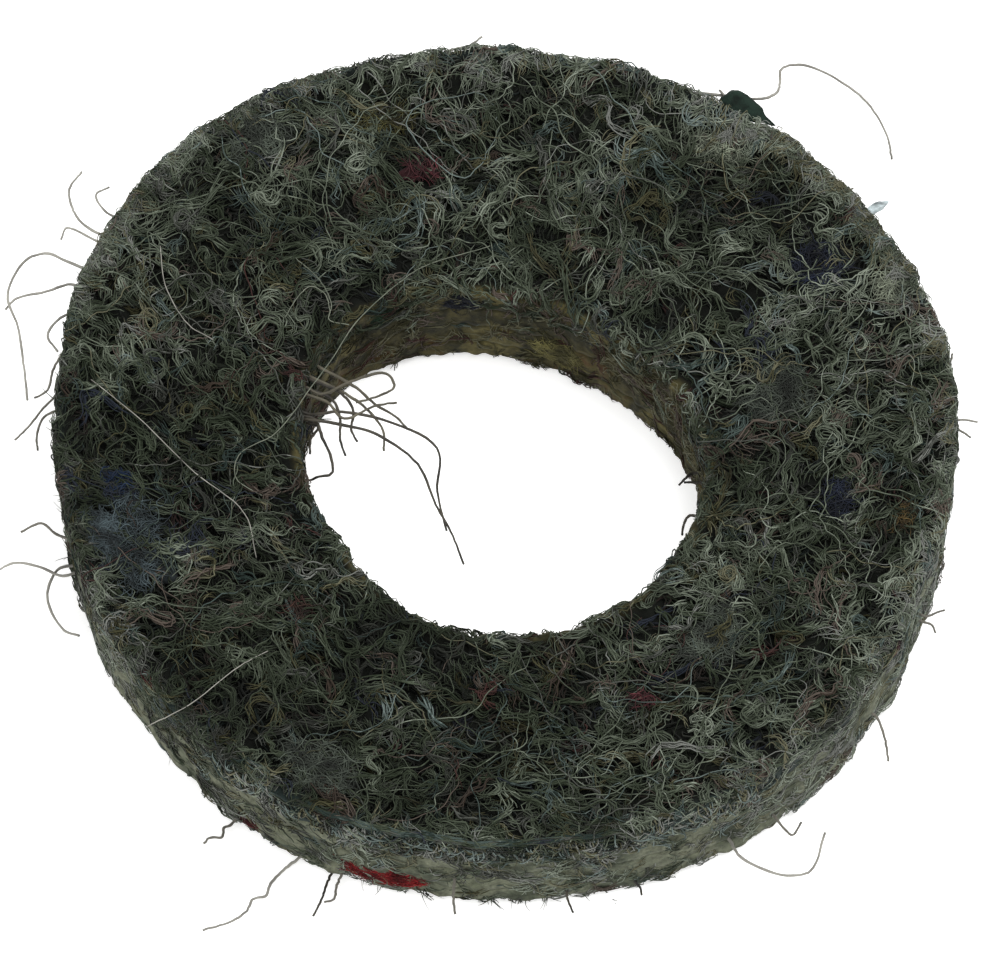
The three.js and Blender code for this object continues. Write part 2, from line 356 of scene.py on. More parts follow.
# Near-black colours of the felt's faces: painted shade in the gaps between the fibres
DEEP_SHADE_STOPS = [(0.3, (2, 3, 1)), (0.7, (9, 12, 7))]
PALE_RIM_STOPS = [(0.32, (40, 45, 35)), (0.42, (72, 77, 62)), (0.52, (102, 105, 88)),
                  (0.62, (84, 88, 70)), (0.72, (46, 52, 42))]
DARK_RIM_STOPS = [(0.3, (10, 20, 20)), (0.5, (28, 40, 38)), (0.7, (58, 66, 58))]
BORE_STOPS = [(0.3, (68, 36, 22)), (0.4, (72, 67, 40)), (0.5, (36, 36, 24)), (0.58, (91, 85, 53)),
              (0.7, (60, 60, 38))]
STRAND_STOPS = [(0.35, (95, 95, 95)), (0.65, (255, 255, 255))]
DEEP_SCALE, RIM_SCALE, BORE_SCALE, STRAND_SCALE = 2600, 480, 420, 5200
STRAND_SHARE = 0.6
BODY_RELIEF = (9000, 8, 0.05)


def felt_body_material(name, rim_stops):
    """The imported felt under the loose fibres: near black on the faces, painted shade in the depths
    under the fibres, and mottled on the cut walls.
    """
    material, shader = principled(name, 0.95)
    tree = material.node_tree
    deep = ramp(tree, noise(tree, DEEP_SCALE), DEEP_SHADE_STOPS)
    rim = ramp(tree, noise(tree, RIM_SCALE), rim_stops)
    bore = ramp(tree, noise(tree, BORE_SCALE), BORE_STOPS)
    strands = ramp(tree, noise(tree, STRAND_SCALE, 8), STRAND_STOPS)
    walls = mixed(tree, attribute(tree, "bore_side"), rim, bore)
    walls = mixed(tree, STRAND_SHARE, walls, strands, "MULTIPLY")
    colour = mixed(tree, attribute(tree, "wall"), deep, walls)
    tree.links.new(colour, shader.inputs["Base Color"])
    add_bump(tree, shader, noise(tree, *BODY_RELIEF[:2]), BODY_RELIEF[2])
    return material


DARK_FELT = felt_body_material("dark_packed_felt", DARK_RIM_STOPS)
PALE_FELT = felt_body_material("pale_packed_felt", PALE_RIM_STOPS)


# ---------------------------------------------------------------- the felt bodies of the webs
AROUND = 620
FINE_STEP = 0.13
FACE_SINK = 0.34
WALL_SINK = 0.03
EDGE_SINK = 0.08
EDGE_BAND = 0.9
BODY_CORNER = 0.12
WALL_BAND = 0.3
FREE_BAND = 0.3
BORE_ROUGHNESS = 0.6
WALL_WAVES = ((0.03, 1.6, 10), (0.025, 0.8, 11), (0.02, 0.35, 12))
FACE_WAVES = ((0.05, 1.1, 13), (0.04, 0.45, 14))
HAIRLINE = 1e-6


def steps_between(a, b):
    """Even steps from one place up to, and without, another."""
    return np.linspace(a, b, max(2, int(abs(b - a) / FINE_STEP)), endpoint=False)


def ply_body(name, node, material, top, bottom):
    """One web as a closed ring. An outer web's free face is sunk under the fibres that cover it."""
    low, high = (corner.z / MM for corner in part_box(node))
    high -= EDGE_SINK if top else 0
    low += EDGE_SINK if bottom else 0
    inner, outer = BORE_RADIUS + WALL_SINK, RIM_RADIUS - WALL_SINK
    up, across, down, back = (steps_between(low, high), steps_between(inner, outer),
                              steps_between(high, low), steps_between(outer, inner))
    r = np.concatenate([np.full_like(up, inner), across, np.full_like(down, outer), back])
    z = np.concatenate([up, np.full_like(across, high), down, np.full_like(back, low)])
    from_wall = np.clip(BODY_CORNER - np.minimum(r - inner, outer - r), 0, BODY_CORNER)
    dip = BODY_CORNER - np.sqrt(BODY_CORNER**2 - from_wall**2)
    z = np.where((z >= high - HAIRLINE) & top, z - dip, z)
    z = np.where((z <= low + HAIRLINE) & bottom, z + dip, z)
    angle = np.linspace(-math.pi, math.pi, AROUND, endpoint=False)
    grid_r, grid_a = np.meshgrid(r, angle)
    grid_z = np.broadcast_to(z, grid_r.shape)
    points = on_wheel(grid_r, grid_a, grid_z.copy())
    inset = np.minimum(grid_r - inner, outer - grid_r)
    wallness = np.clip(1 - inset / WALL_BAND, 0, 1)
    on_rim = grid_r > 0.5 * (inner + outer)
    out = np.where(on_rim, 1.0, -BORE_ROUGHNESS) * wallness * layered(points, WALL_WAVES)
    points[..., 0] += out * np.cos(grid_a)
    points[..., 1] += out * np.sin(grid_a)
    if top or bottom:
        free = np.abs(grid_z - (high if top else low)) < FREE_BAND
        lift = layered(points, FACE_WAVES)
        inward = np.clip(inset / EDGE_BAND, 0, 1)
        hollow = (FACE_SINK - EDGE_SINK) * inward**2 * (3 - 2 * inward)
        points[..., 2] += np.where(free, lift * inward - (hollow if top else -hollow), 0)
    rows, columns = grid_r.shape
    index = np.arange(rows * columns).reshape(rows, columns)
    next_row = np.roll(index, -1, 0)
    quads = np.stack([index, next_row, np.roll(next_row, -1, 1), np.roll(index, -1, 1)], -1).reshape(-1)
    starts = np.arange(rows * columns) * 4
    sizes = np.full(rows * columns, 4)
    piece = link_mesh(name, points.reshape(-1, 3), quads, starts, sizes, None, [material])
    bore_side = (grid_r < 0.5 * (inner + outer)).astype(float)
    for label, values in (("wall", wallness), ("bore_side", bore_side)):
        layer = piece.data.attributes.new(label, "FLOAT", "POINT")
        layer.data.foreach_set("value", values.reshape(-1).astype(np.float32))
    join_frame(piece, node)


ply_body("face_web", "face_ply", DARK_FELT, True, False)
ply_body("upper_core_web", "upper_core_ply", PALE_FELT, False, False)
ply_body("lower_core_web", "lower_core_ply", PALE_FELT, False, False)
ply_body("back_web", "back_ply", PALE_FELT, False, True)


# ---------------------------------------------------------------- where the lumps of coloured wool are
# Each colour of lump: its display colour, how thickly its own fibres cover it, and how bare it is of
# other wool
WOOL = {
    "red_wool": ((116, 28, 30), 8.0, 0.7), "dark_red_wool": ((74, 34, 34), 6.0, 0.7),
    "crimson_wool": ((80, 40, 44), 1.6, 0.5), "navy_wool": ((24, 29, 42), 3.0, 0.45),
    "blue_wool": ((60, 70, 73), 3.0, 0.35), "green_wool": ((26, 46, 30), 4.0, 0.6),
    "yellow_wool": ((106, 102, 62), 4.0, 0.7), "olive_wool": ((62, 60, 32), 1.6, 0.4),
    "ochre_wool": ((80, 66, 38), 1.6, 0.4), "russet_wool": ((56, 38, 32), 1.6, 0.4),
    "pale_wool": ((112, 118, 102), 3.0, 0.6), "matted_wool": ((64, 70, 62), 3.0, 0.35),
}

LUMPS = {
    "red_wool": ["red_wool_tuft"],
    "dark_red_wool": ["dark_red_tuft", "left_rim_knot"],
    "crimson_wool": ["right_rim_knot", "upper_crimson_knot", "lower_crimson_knot"],
    "navy_wool": ["navy_bore_wool", "upper_navy_patch", "lower_navy_patch"],
    "blue_wool": ["blue_wool_patch"],
    "green_wool": ["green_bore_wool"],
    "yellow_wool": ["yellow_bore_wool"],
    "olive_wool": ["olive_wool_patch"],
    "ochre_wool": ["ochre_wool_patch"],
    "russet_wool": ["russet_wool_patch"],
    "pale_wool": ["pale_burr", "pale_fluff"],
    "matted_wool": ["matted_lump_1", "matted_lump_2", "matted_lump_3", "matted_lump_4"],
}

WALL_REACH = 0.4
CHIP_SPAN = (1.5, 1.1)
CHIP_BARENESS = 0.95


def lump_place(node):
    """Where a CAD lump lies on the surface map: way, angle, and half its size across and along."""
    points = node_points(node)
    radius, angle = off_wheel(points)
    middle = math.atan2(np.sin(angle).mean(), np.cos(angle).mean())
    aside = turned(angle, middle)
    r = 0.5 * (radius.min() + radius.max())
    z = points[:, 2]
    height = 0.5 * (z.min() + z.max())
    along = 0.5 * np.ptp(aside) * r
    if r > RIM_RADIUS - WALL_REACH:
        return RIM_WALL[0] + TOP - EDGE_ROUND - height, middle, 0.5 * np.ptp(z), along
    if r < BORE_RADIUS + WALL_REACH:
        return height - BOTTOM - EDGE_ROUND, middle, 0.5 * np.ptp(z), along
    return TOP_FACE[0] + r - BORE_RADIUS - EDGE_ROUND, middle, 0.5 * np.ptp(radius), along


LUMP_PLACES = {node: lump_place(node) for nodes in LUMPS.values() for node in nodes}
BARE_PLACES = [(LUMP_PLACES[node], WOOL[slot][2]) for slot, nodes in LUMPS.items() for node in nodes]
for node in ("dark_rim_chip", "clear_rim_chip"):
    way, angle, across, along = lump_place(node)
    BARE_PLACES.append(((way, angle, CHIP_SPAN[0] * across, CHIP_SPAN[1] * along), CHIP_BARENESS))


# ---------------------------------------------------------------- the shades of the wool
# Each hue is a shift from grey, and its tones are display brightnesses
TONES = (7, 12, 19, 28, 39, 52, 67, 85, 103, 122)
HUES = {
    "green": ((-4, 3, -10), TONES),
    "grey": ((-1, 1, -4), (39, 67, 107)),
    "olive": ((3, 2, -17), (28, 52, 85)),
    "teal": ((-8, 3, -1), (19, 39, 67, 100)),
    "brown": ((7, -1, -8), (19, 39, 67)),
    "rust": ((16, -5, -8), (19, 36)),
    "navy": ((-6, -1, 8), (19, 34)),
    "blue": ((-14, -1, 18), (30, 46)),
}
FULL_SHIFT_TONE = 30
SHADES = []
FIRST_SHADE = {}
for hue_name, (shift, tones) in HUES.items():
    FIRST_SHADE[hue_name] = len(SHADES)
    for tone in tones:
        strength = min(1, tone / FULL_SHIFT_TONE)
        colour = [tone + strength * part for part in shift]
        SHADES.append(strand_material(f"wool_{hue_name}_{tone}", colour))
HUE_NAMES = list(HUES)


def shades(hues, tones):
    """The nearest shade to a tone in a hue, for arrays of hue numbers and tones of one shape."""
    picked = np.zeros(tones.shape, int)
    for number, name in enumerate(HUE_NAMES):
        own = np.array(HUES[name][1], float)
        nearest = np.searchsorted(np.sqrt(own[1:] * own[:-1]), tones)
        picked = np.where(hues == number, FIRST_SHADE[name] + nearest, picked)
    return picked


# Regions where one hue of rag wool shows through: the hue, its seed, and how common it is
STAINS = (("rust", 31, 0.1), ("navy", 32, 0.14), ("olive", 33, 0.24), ("teal", 34, 0.24),
          ("brown", 35, 0.3))
STAIN_SPREAD = 2.0
STAIN_EDGE = 1.9
STAIN_STEP = 2.2
STAIN_SHARE = 0.4

FACE_HUES = {"green": 13, "grey": 2, "olive": 1.0, "teal": 1.2, "brown": 0.7, "rust": 0.08, "navy": 0.1}
RIM_HUES = {"grey": 4, "green": 6, "olive": 1.4, "teal": 0.6}
OLIVE_HUES = {"olive": 4, "green": 5, "grey": 2}
BRUSH_HUES = {"teal": 3, "grey": 3, "olive": 2, "green": 2}
TEAL_HUES = {"teal": 6, "green": 4, "grey": 2}
BORE_HUES = {"olive": 9, "brown": 4, "green": 1, "rust": 1.0}


def choose_hues(rng, mix, places):
    """A hue for each place: by chance from a mix, and in some regions a stain of one hue."""
    weights = np.array([mix.get(name, 0) for name in HUE_NAMES], float)
    picked = rng.choice(len(HUE_NAMES), len(places), p=weights / weights.sum())
    for hue, seed, common in STAINS:
        inside = waves(places, STAIN_SPREAD, SEED + seed) > STAIN_EDGE - STAIN_STEP * common
        struck = rng.uniform(0, 1, len(places)) < STAIN_SHARE
        picked = np.where(inside & struck, HUE_NAMES.index(hue), picked)
    return picked


# ---------------------------------------------------------------- strands of wool
SIDES = 3
PIECE_FACES = 180000
ACROSS = np.array([0.13, 0.07, 1.0])
TINY = 1e-12
CURLS = ((2.6, 1.0), (1.3, 1.2), (0.7, 1.2))
CURL_SPREAD = (0.7, 1.4)


def tubes(name, paths, widths, shade_ids, materials, sides=SIDES, node=None):
    """Many strands as one piece: paths is strands x steps x 3, widths (radii) is strands x steps, and
    shade_ids is strands x (steps - 1)."""
    count, steps, _ = paths.shape
    tangent = np.gradient(paths, axis=1)
    tangent /= np.linalg.norm(tangent, axis=2, keepdims=True) + TINY
    side = np.cross(tangent, ACROSS)
    side /= np.linalg.norm(side, axis=2, keepdims=True) + TINY
    other = np.cross(tangent, side)
    corners = []
    for a in (2 * math.pi * k / sides for k in range(sides)):
        corners.append(paths + widths[..., None] * (math.cos(a) * side + math.sin(a) * other))
    vertices = np.stack(corners, 2).reshape(-1, 3)
    base = (np.arange(count) * steps * sides)[:, None, None]
    ring = (np.arange(steps - 1) * sides)[None, :, None]
    k = np.arange(sides)[None, None, :]
    here = base + ring + k
    beside = base + ring + (k + 1) % sides
    quads = np.stack([here, here + sides, beside + sides, beside], -1).reshape(count, -1)
    first = base[:, 0] + np.arange(sides)[None, :]
    last = base[:, 0] + (steps - 1) * sides + np.arange(sides)[None, ::-1]
    loops = np.concatenate([quads, first, last], 1).reshape(-1)
    per_strand = np.concatenate([np.full((steps - 1) * sides, 4), np.full(2, sides)])
    sizes = np.tile(per_strand, count)
    starts = np.concatenate([[0], np.cumsum(sizes)[:-1]])
    of_quads = np.repeat(shade_ids, sides, axis=1)
    of_faces = np.concatenate([of_quads, shade_ids[:, :1], shade_ids[:, -1:]], 1).reshape(-1)
    used, own = np.unique(of_faces, return_inverse=True)
    piece = link_mesh(name, vertices, loops, starts, sizes, own, [materials[i] for i in used])
    join_frame(piece, node)
    return piece


def curls(rng, count, steps, length, swing, tight=1.0, heading=None):
    """Flat curly lines from the origin: across and along in millimetres, and the length along them."""
    s = np.linspace(0, 1, steps)[None, :] * length[:, None]
    bend = rng.normal(0, 0.5 * swing, (count, 1)) * np.ones_like(s)
    for wavelength, strength in CURLS:
        scale = rng.uniform(*CURL_SPREAD, (count, 1)) * wavelength * tight
        phase = rng.uniform(0, 2 * math.pi, (count, 1))
        bend += rng.normal(0, strength * swing, (count, 1)) * np.sin(2 * math.pi * s / scale + phase)
    step = (length / (steps - 1))[:, None]
    start = rng.uniform(0, 2 * math.pi, (count, 1))
    if heading is not None:
        middle, stray = heading
        start = rng.normal(middle, stray, (count, 1))
    course = start + np.cumsum(bend * step, 1)
    across = np.cumsum(np.cos(course) * step, 1)
    along = np.cumsum(np.sin(course) * step, 1)
    return across - across[:, :1], along - along[:, :1], s


DRAWN_PER_KEPT = 4
COVER = 0.9


def scatter(rng, way_range, angles, count):
    """Places spread evenly over a stretch of the surface, in order round the wheel."""
    way = rng.uniform(*way_range, DRAWN_PER_KEPT * count)
    way = way[rng.uniform(0, RIM_RADIUS, len(way)) < radius_at(way)][:count]
    return way[:, None], np.sort(rng.uniform(*angles, len(way)))[:, None]


def covered(rng, way, angle):
    """Which places of wisps fall on a lump that keeps them off."""
    taken = np.zeros(len(way), bool)
    for (way0, angle0, across, along), bareness in BARE_PLACES:
        aside = turned(angle, angle0) * radius_at(way0)
        inside = ((way - way0) / (COVER * across)) ** 2 + (aside / (COVER * along)) ** 2 < 1
        taken |= inside & (rng.uniform(0, 1, len(way)) < bareness)
    return taken


# How pale the wool is everywhere, then painted light: paler to the right, along the edge, more on its far
# side, and far left
PALE_ALL, PAINTED_LIGHT_RIGHT, PAINTED_RIM_LIGHT, PAINTED_FAR_RIM_LIGHT, PAINTED_LIGHT_FAR_LEFT = 1.08, 0.26, 0.1, 0.22, 0.62
RIM_LIGHT_START = 0.78
RIM_LIGHT_BAND = 0.18


def painted_lightness(points):
    """How much paler than its usual tone the wool is painted at some places: painted light to the right,
    along the edge and far left.
    """
    x, y = points[..., 0] / RIM_RADIUS, points[..., 1] / RIM_RADIUS
    edge = np.clip((np.hypot(x, y) - RIM_LIGHT_START) / RIM_LIGHT_BAND, 0, 1)
    far_left = np.clip(y, 0, 1) * np.clip(-x, 0, 1)
    return (PALE_ALL + PAINTED_LIGHT_RIGHT * x + edge * (PAINTED_RIM_LIGHT + PAINTED_FAR_RIM_LIGHT * y)
            + PAINTED_LIGHT_FAR_LEFT * far_left)


ALL_ROUND = (-math.pi, math.pi)
GAP_SIZE = 1.0
GAP_LEVEL = 1.6
STRAND_LENGTHS = (0.65, 1.1)
WIGGLE_LENGTHS = (0.6, 1.6)
SECOND_WIGGLE = 1.3
HILLS = ((0.035, 2.4, SEED + 51),)
TONE_FIELDS = ((1, 0.9, SEED + 52), (1.3, 2.6, SEED + 53), (0.8, 7.0, SEED + 54))
TONE_JITTER = 0.08
PATCH_SHARE = 0.6
END_SHARES = (0.02, 0.98)
TIP_WIDTH = 0.25


def felted(name, seed, way_range, wisps, strands, steps, length, radius, lift, tone, hues, slot,
           swing=2.4, fan=0.25, spread=0.06, wobble=0.05, dip=0.12, angles=ALL_ROUND, heading=None,
           gaps=0.0, stray=0.25, patchy=0.3, clear=True):
    """A layer of wool over a stretch of the surface, in wisps of curly strands that fan out. length,
    radius and lift are ranges in millimetres. swing is how curly a strand is, and dip how far its ends
    sink in. gaps opens holes, stray and patchy vary the tone, and clear keeps wisps off the lumps."""
    rng = np.random.default_rng(SEED + seed)
    way0, angle0 = scatter(rng, way_range, angles, wisps)
    places = surface(way0, angle0, 0.0)[:, 0]
    if gaps:
        open_here = waves(places, GAP_SIZE, SEED + 50) < gaps - GAP_LEVEL
        way0, angle0, places = way0[~open_here], angle0[~open_here], places[~open_here]
    bare = covered(rng, way0[:, 0], angle0[:, 0]) if clear else np.zeros(len(way0), bool)
    way0, angle0, places = way0[~bare], angle0[~bare], places[~bare]
    wisps = len(way0)
    lengths = rng.uniform(*length, wisps)
    across, along, s = curls(rng, wisps, steps, lengths, swing, heading=heading)
    middle = slice(steps // 2, steps // 2 + 1)
    across -= across[:, middle]
    along -= along[:, middle]
    turn = rng.normal(0, fan, (wisps, strands, 1))
    scale = rng.uniform(*STRAND_LENGTHS, (wisps, strands, 1))
    beside = rng.normal(0, spread, (2, wisps, strands, 1))
    phase = rng.uniform(0, 2 * math.pi, (3, wisps, strands, 1))
    wave = 2 * math.pi * s[:, None] / rng.uniform(*WIGGLE_LENGTHS, (wisps, strands, 1))
    wiggle = 0.5 * spread * (np.sin(wave + phase[0]) + 1j * np.sin(SECOND_WIGGLE * wave + phase[1]))
    line = (across + 1j * along)[:, None] * scale * np.exp(1j * turn)
    line = line + beside[0] + 1j * beside[1] + wiggle
    way = way0[:, None] + line.real
    angle = angle0[:, None] + line.imag / radius_at(way0)[:, None]
    share = np.clip(s / lengths[:, None], *END_SHARES)[:, None]
    ends = 1 - np.sin(math.pi * share) ** 0.5
    own_lift = 0.25 * (lift[1] - lift[0])
    level = rng.uniform(*lift, (wisps, 1, 1)) + rng.normal(0, own_lift, (wisps, strands, 1))
    level = level + wobble * np.sin(wave + phase[2]) - dip * ends
    paths = surface(way, angle, level + layered(surface(way, angle, 0.0), HILLS))
    body = TIP_WIDTH + (1 - TIP_WIDTH) * np.sin(math.pi * share) ** 0.35
    thick = rng.uniform(*radius, (wisps, strands, 1)) * body
    shift = rng.normal(0, stray, (wisps, 1, 1)) + rng.normal(0, 0.5 * stray, (wisps, strands, 1))
    shift = shift + patchy * PATCH_SHARE * layered(paths, TONE_FIELDS)
    # Tones are scaled by painted light, lighter to the right, along the edge and far left
    tones = tone * painted_lightness(paths) * np.exp(shift + rng.normal(0, TONE_JITTER, paths.shape[:3]))
    hue = choose_hues(rng, hues, places)[:, None, None]
    ids = shades(np.broadcast_to(hue, tones.shape), tones)[..., 1:]
    total = wisps * strands
    paths, ids = paths.reshape(total, steps, 3), ids.reshape(total, steps - 1)
    thick = thick.reshape(total, steps)
    per_piece = PIECE_FACES // ((steps - 1) * SIDES * 2 + 2)
    for number, start in enumerate(range(0, total, per_piece)):
        part = slice(start, start + per_piece)
        tubes(f"{name}_{number + 1:02d}", paths[part], thick[part], ids[part], SHADES)


FRONT = (TOP_FACE[0] - 0.5 * CORNER, TOP_FACE[1] + 0.5 * CORNER)
BACK = (BACK_FACE[0] + 0.35, BACK_FACE[1] - 0.35)
FRONT_RIM = (TOP_FACE[1] - 0.35, RIM_WALL[0] + 0.25)
BACK_RIM = (RIM_WALL[1] - 0.1, BACK_FACE[0] + 0.3)
BACK_BORE = (BACK_FACE[1] - 0.3, ROUND_TRIP + 0.1)
BORE_DRAPE = (BORE_WALL[1] - 0.9, TOP_FACE[0] + 0.3)
WEB_EDGE = RIM_WALL[0] + 0.72
LIP = arc(-114, -77)
BRUSH = arc(-127, -58)
OPEN_EDGE = arc(-58, 233)
FAR_RIGHT = arc(24, 58)
FAR_LEFT = arc(112, 158)
WALL_LIE = {"swing": 1.8, "wobble": 0.02, "dip": 0.06}
CURLY_EDGE = {"swing": 3.2, "wobble": 0.03, "dip": 0.06}
BACK_LIE = {"swing": 1.4, "wobble": 0.01, "dip": 0.04}

# The front face, from its dark depths up to single strands, and its edges. The lower layers are given
# darker tones: painted shade in the depths of the felt
felted("front_deep", 1, FRONT, 2300, 2, 12, (1.0, 2.4), (0.03, 0.045), (-0.36, -0.24), 8, FACE_HUES,
       "dark_felt")
felted("front_middle", 2, FRONT, 1200, 6, 12, (1.0, 2.6), (0.018, 0.03), (-0.26, -0.12), 23, FACE_HUES,
       "dark_felt", gaps=0.7, fan=0.2, spread=0.05)
felted("front_tangle", 3, FRONT, 1000, 7, 14, (1.2, 3.2), (0.015, 0.028), (-0.1, 0.05), 54, FACE_HUES,
       "dark_felt", gaps=1.0, fan=0.14, spread=0.045, stray=0.19, patchy=0.26)
felted("front_fuzz", 4, FRONT, 2400, 4, 6, (0.4, 1.2), (0.011, 0.018), (-0.14, 0.07), 49, FACE_HUES,
       "dark_felt", gaps=0.9, stray=0.12)
felted("front_strands", 5, FRONT, 400, 1, 36, (3.0, 8.0), (0.014, 0.022), (0.0, 0.08), 64, FACE_HUES,
       "dark_felt", swing=0.9, stray=0.16, patchy=0.15)
felted("front_edge", 14, FRONT_RIM, 800, 5, 7, (0.4, 1.3), (0.011, 0.02), (-0.06, 0.05), 64, RIM_HUES,
       "dark_felt", swing=1.8, wobble=0.03, dip=0.06)
felted("far_right_edge", 17, FRONT_RIM, 320, 6, 8, (0.3, 1.0), (0.01, 0.018), (-0.04, 0.08), 62,
       OLIVE_HUES, "dark_felt", angles=FAR_RIGHT, stray=0.22, **CURLY_EDGE)
felted("far_left_edge", 18, FRONT_RIM, 260, 6, 8, (0.3, 1.0), (0.01, 0.018), (-0.04, 0.08), 66, RIM_HUES,
       "dark_felt", angles=FAR_LEFT, stray=0.2, **CURLY_EDGE)
felted("bore_drape", 19, BORE_DRAPE, 330, 6, 10, (0.6, 1.8), (0.014, 0.026), (-0.05, 0.06), 50, FACE_HUES,
       "dark_felt", fan=0.16, spread=0.04, gaps=0.9)

# The back face. The lower layers are given darker tones: painted shade in the depths of the felt
felted("back_deep", 6, BACK, 1200, 2, 9, (1.0, 2.4), (0.034, 0.05), (-0.36, -0.24), 8, FACE_HUES,
       "dark_felt")
felted("back_middle", 7, BACK, 900, 6, 10, (1.0, 2.6), (0.02, 0.032), (-0.26, -0.12), 24, FACE_HUES,
       "dark_felt")
felted("back_tangle", 8, BACK, 800, 5, 11, (1.2, 3.2), (0.018, 0.03), (-0.16, -0.05), 56, FACE_HUES,
       "dark_felt", gaps=0.8, fan=0.16, spread=0.05)
felted("back_fuzz", 9, BACK, 1100, 4, 6, (0.4, 1.2), (0.01, 0.017), (-0.18, -0.04), 48, FACE_HUES,
       "dark_felt")
# The back edge's fibres get a pale tone as painted light, lifting the shade they lie in near the floor
felted("back_edge", 15, BACK_RIM, 500, 4, 6, (0.2, 0.6), (0.01, 0.016), (-0.08, -0.02), 103, RIM_HUES,
       "pale_felt", **BACK_LIE)

# The rim's wall and the bore's
felted("rim_wool", 10, (WEB_EDGE, RIM_WALL[1]), 1900, 4, 8, (0.4, 1.5), (0.011, 0.02), (-0.03, 0.04), 90,
       RIM_HUES, "pale_felt", stray=0.12, patchy=0.34, **WALL_LIE)
felted("web_edge_wool", 20, (RIM_WALL[0], WEB_EDGE), 190, 4, 8, (0.4, 1.3), (0.011, 0.02),
       (-0.03, 0.04), 44, TEAL_HUES, "dark_felt", patchy=0.4, angles=BRUSH, **WALL_LIE)
felted("pale_web_edge", 27, (RIM_WALL[0] - 0.1, WEB_EDGE), 640, 5, 8, (0.4, 1.3), (0.011, 0.02),
       (-0.03, 0.05), 76, RIM_HUES, "dark_felt", stray=0.2, patchy=0.34, angles=OPEN_EDGE, **WALL_LIE)
felted("bore_wool", 11, BORE_WALL, 620, 4, 8, (0.4, 1.5), (0.01, 0.018), (-0.02, 0.04), 56, BORE_HUES,
       "pale_felt", stray=0.2, patchy=0.5, **WALL_LIE)
felted("bore_edge", 16, BACK_BORE, 220, 4, 6, (0.3, 0.8), (0.01, 0.018), (-0.05, 0.0), 52, BORE_HUES,
       "pale_felt", **BACK_LIE)

# The blue-green lip at the front, the brushed band under it, and two puffs under the dark chip
felted("rim_lip", 12, (TOP_FACE[1] + 0.08, TOP_FACE[1] + 0.16), 260, 4, 7, (0.4, 0.9), (0.012, 0.02),
       (0.02, 0.07), 58, TEAL_HUES, "dark_felt", swing=0.1, fan=0.02, spread=0.02, angles=LIP,
       heading=(math.pi / 2, 0.03), wobble=0.01, dip=0.04, stray=0.1)
felted("rim_brush", 13, (RIM_WALL[0] + 0.25, RIM_WALL[0] + 1.0), 520, 2, 6, (0.4, 0.95), (0.018, 0.03),
       (0.0, 0.1), 100, BRUSH_HUES, "pale_felt", swing=0.9, angles=BRUSH, heading=(0.05, 0.35),
       wobble=0.02, clear=False)
PUFF_SIZE = (0.25, 1.2)
for number, (puff, inward) in enumerate(((56.0, 0.85), (53.0, 0.5))):
    puff_start = TOP_FACE[1] - inward
    felted(f"white_puff_{number + 1}", 28 + number, (puff_start, puff_start + PUFF_SIZE[0]), 9, 8, 8,
           (0.15, 0.4), (0.008, 0.014), (0.04, 0.16), 103, {"grey": 1}, "pale_wool", swing=5.0,
           stray=0.05, clear=False, angles=arc(puff, puff + PUFF_SIZE[1]))


# ---------------------------------------------------------------- short ends that stand out of the edges
SPIKE_STEPS = 7
BUNCH_SPREAD = 0.05
SPIKE_SINK = 0.04
SPIKE_TAPER = 0.7
SPIKE_TONES = 0.3


def spikes(name, seed, way_range, clusters, each, length, radius, tone, hues, angles=ALL_ROUND):
    """Small bunches of fibre ends that leave the felt at a slant."""
    rng = np.random.default_rng(SEED + seed)
    count = clusters * each
    share = np.linspace(0, 1, SPIKE_STEPS)[None, :]
    s = share * rng.uniform(*length, (count, 1))
    way0 = np.repeat(rng.uniform(*way_range, (clusters, 1)), each, 0)
    way0 = way0 + rng.normal(0, BUNCH_SPREAD, (count, 1))
    angle0 = np.repeat(rng.uniform(*angles, (clusters, 1)), each, 0)
    side = np.repeat(rng.normal(0, 0.5, (clusters, 2)), each, 0) + rng.normal(0, 0.35, (count, 2))
    out = np.abs(rng.normal(0.8, 0.3, (count, 1)))
    hook = rng.normal(0, 1.0, (count, 2))
    r0 = radius_at(way0)
    way = way0 + side[:, :1] * s + hook[:, :1] * s**2
    along = rng.normal(0, BUNCH_SPREAD, (count, 1)) + side[:, 1:] * s + hook[:, 1:] * s**2
    paths = surface(way, angle0 + along / r0, out * s - SPIKE_SINK)
    thick = rng.uniform(*radius, (count, 1)) * (1 - SPIKE_TAPER * share)
    hue = np.broadcast_to(choose_hues(rng, hues, paths[:, 0])[:, None], (count, SPIKE_STEPS - 1))
    tones = tone * np.exp(rng.normal(0, SPIKE_TONES, (count, 1))) * np.ones((1, SPIKE_STEPS - 1))
    tubes(name, paths, thick, shades(hue, tones), SHADES)


spikes("rim_ends", 21, (TOP_FACE[1] - 0.1, BACK_FACE[0] + 0.1), 150, 3, (0.08, 0.3), (0.008, 0.016), 70,
       FACE_HUES)
spikes("bore_ends", 22, (-CORNER, 0.4), 16, 2, (0.1, 0.3), (0.014, 0.026), 40, BORE_HUES)
spikes("lower_teeth", 23, (RIM_WALL[1] - 0.3, RIM_WALL[1] + CORNER), 18, 3, (0.15, 0.45),
       (0.014, 0.026), 60, RIM_HUES, arc(-102, -75))
spikes("left_ends", 24, (TOP_FACE[1], RIM_WALL[1]), 20, 2, (0.25, 0.6), (0.014, 0.026), 64, FACE_HUES,
       arc(140, 205))


# ---------------------------------------------------------------- lumps of coloured rag wool
CORE_SINK = 0.17
WALL_CORE_SINK = 0.05
CORE_SIZE = 0.9
CORE_RINGS, CORE_SPOKES = 9, 40
CORE_SCALE = 4200
CORE_RELIEF = (12000, 8, 0.03)
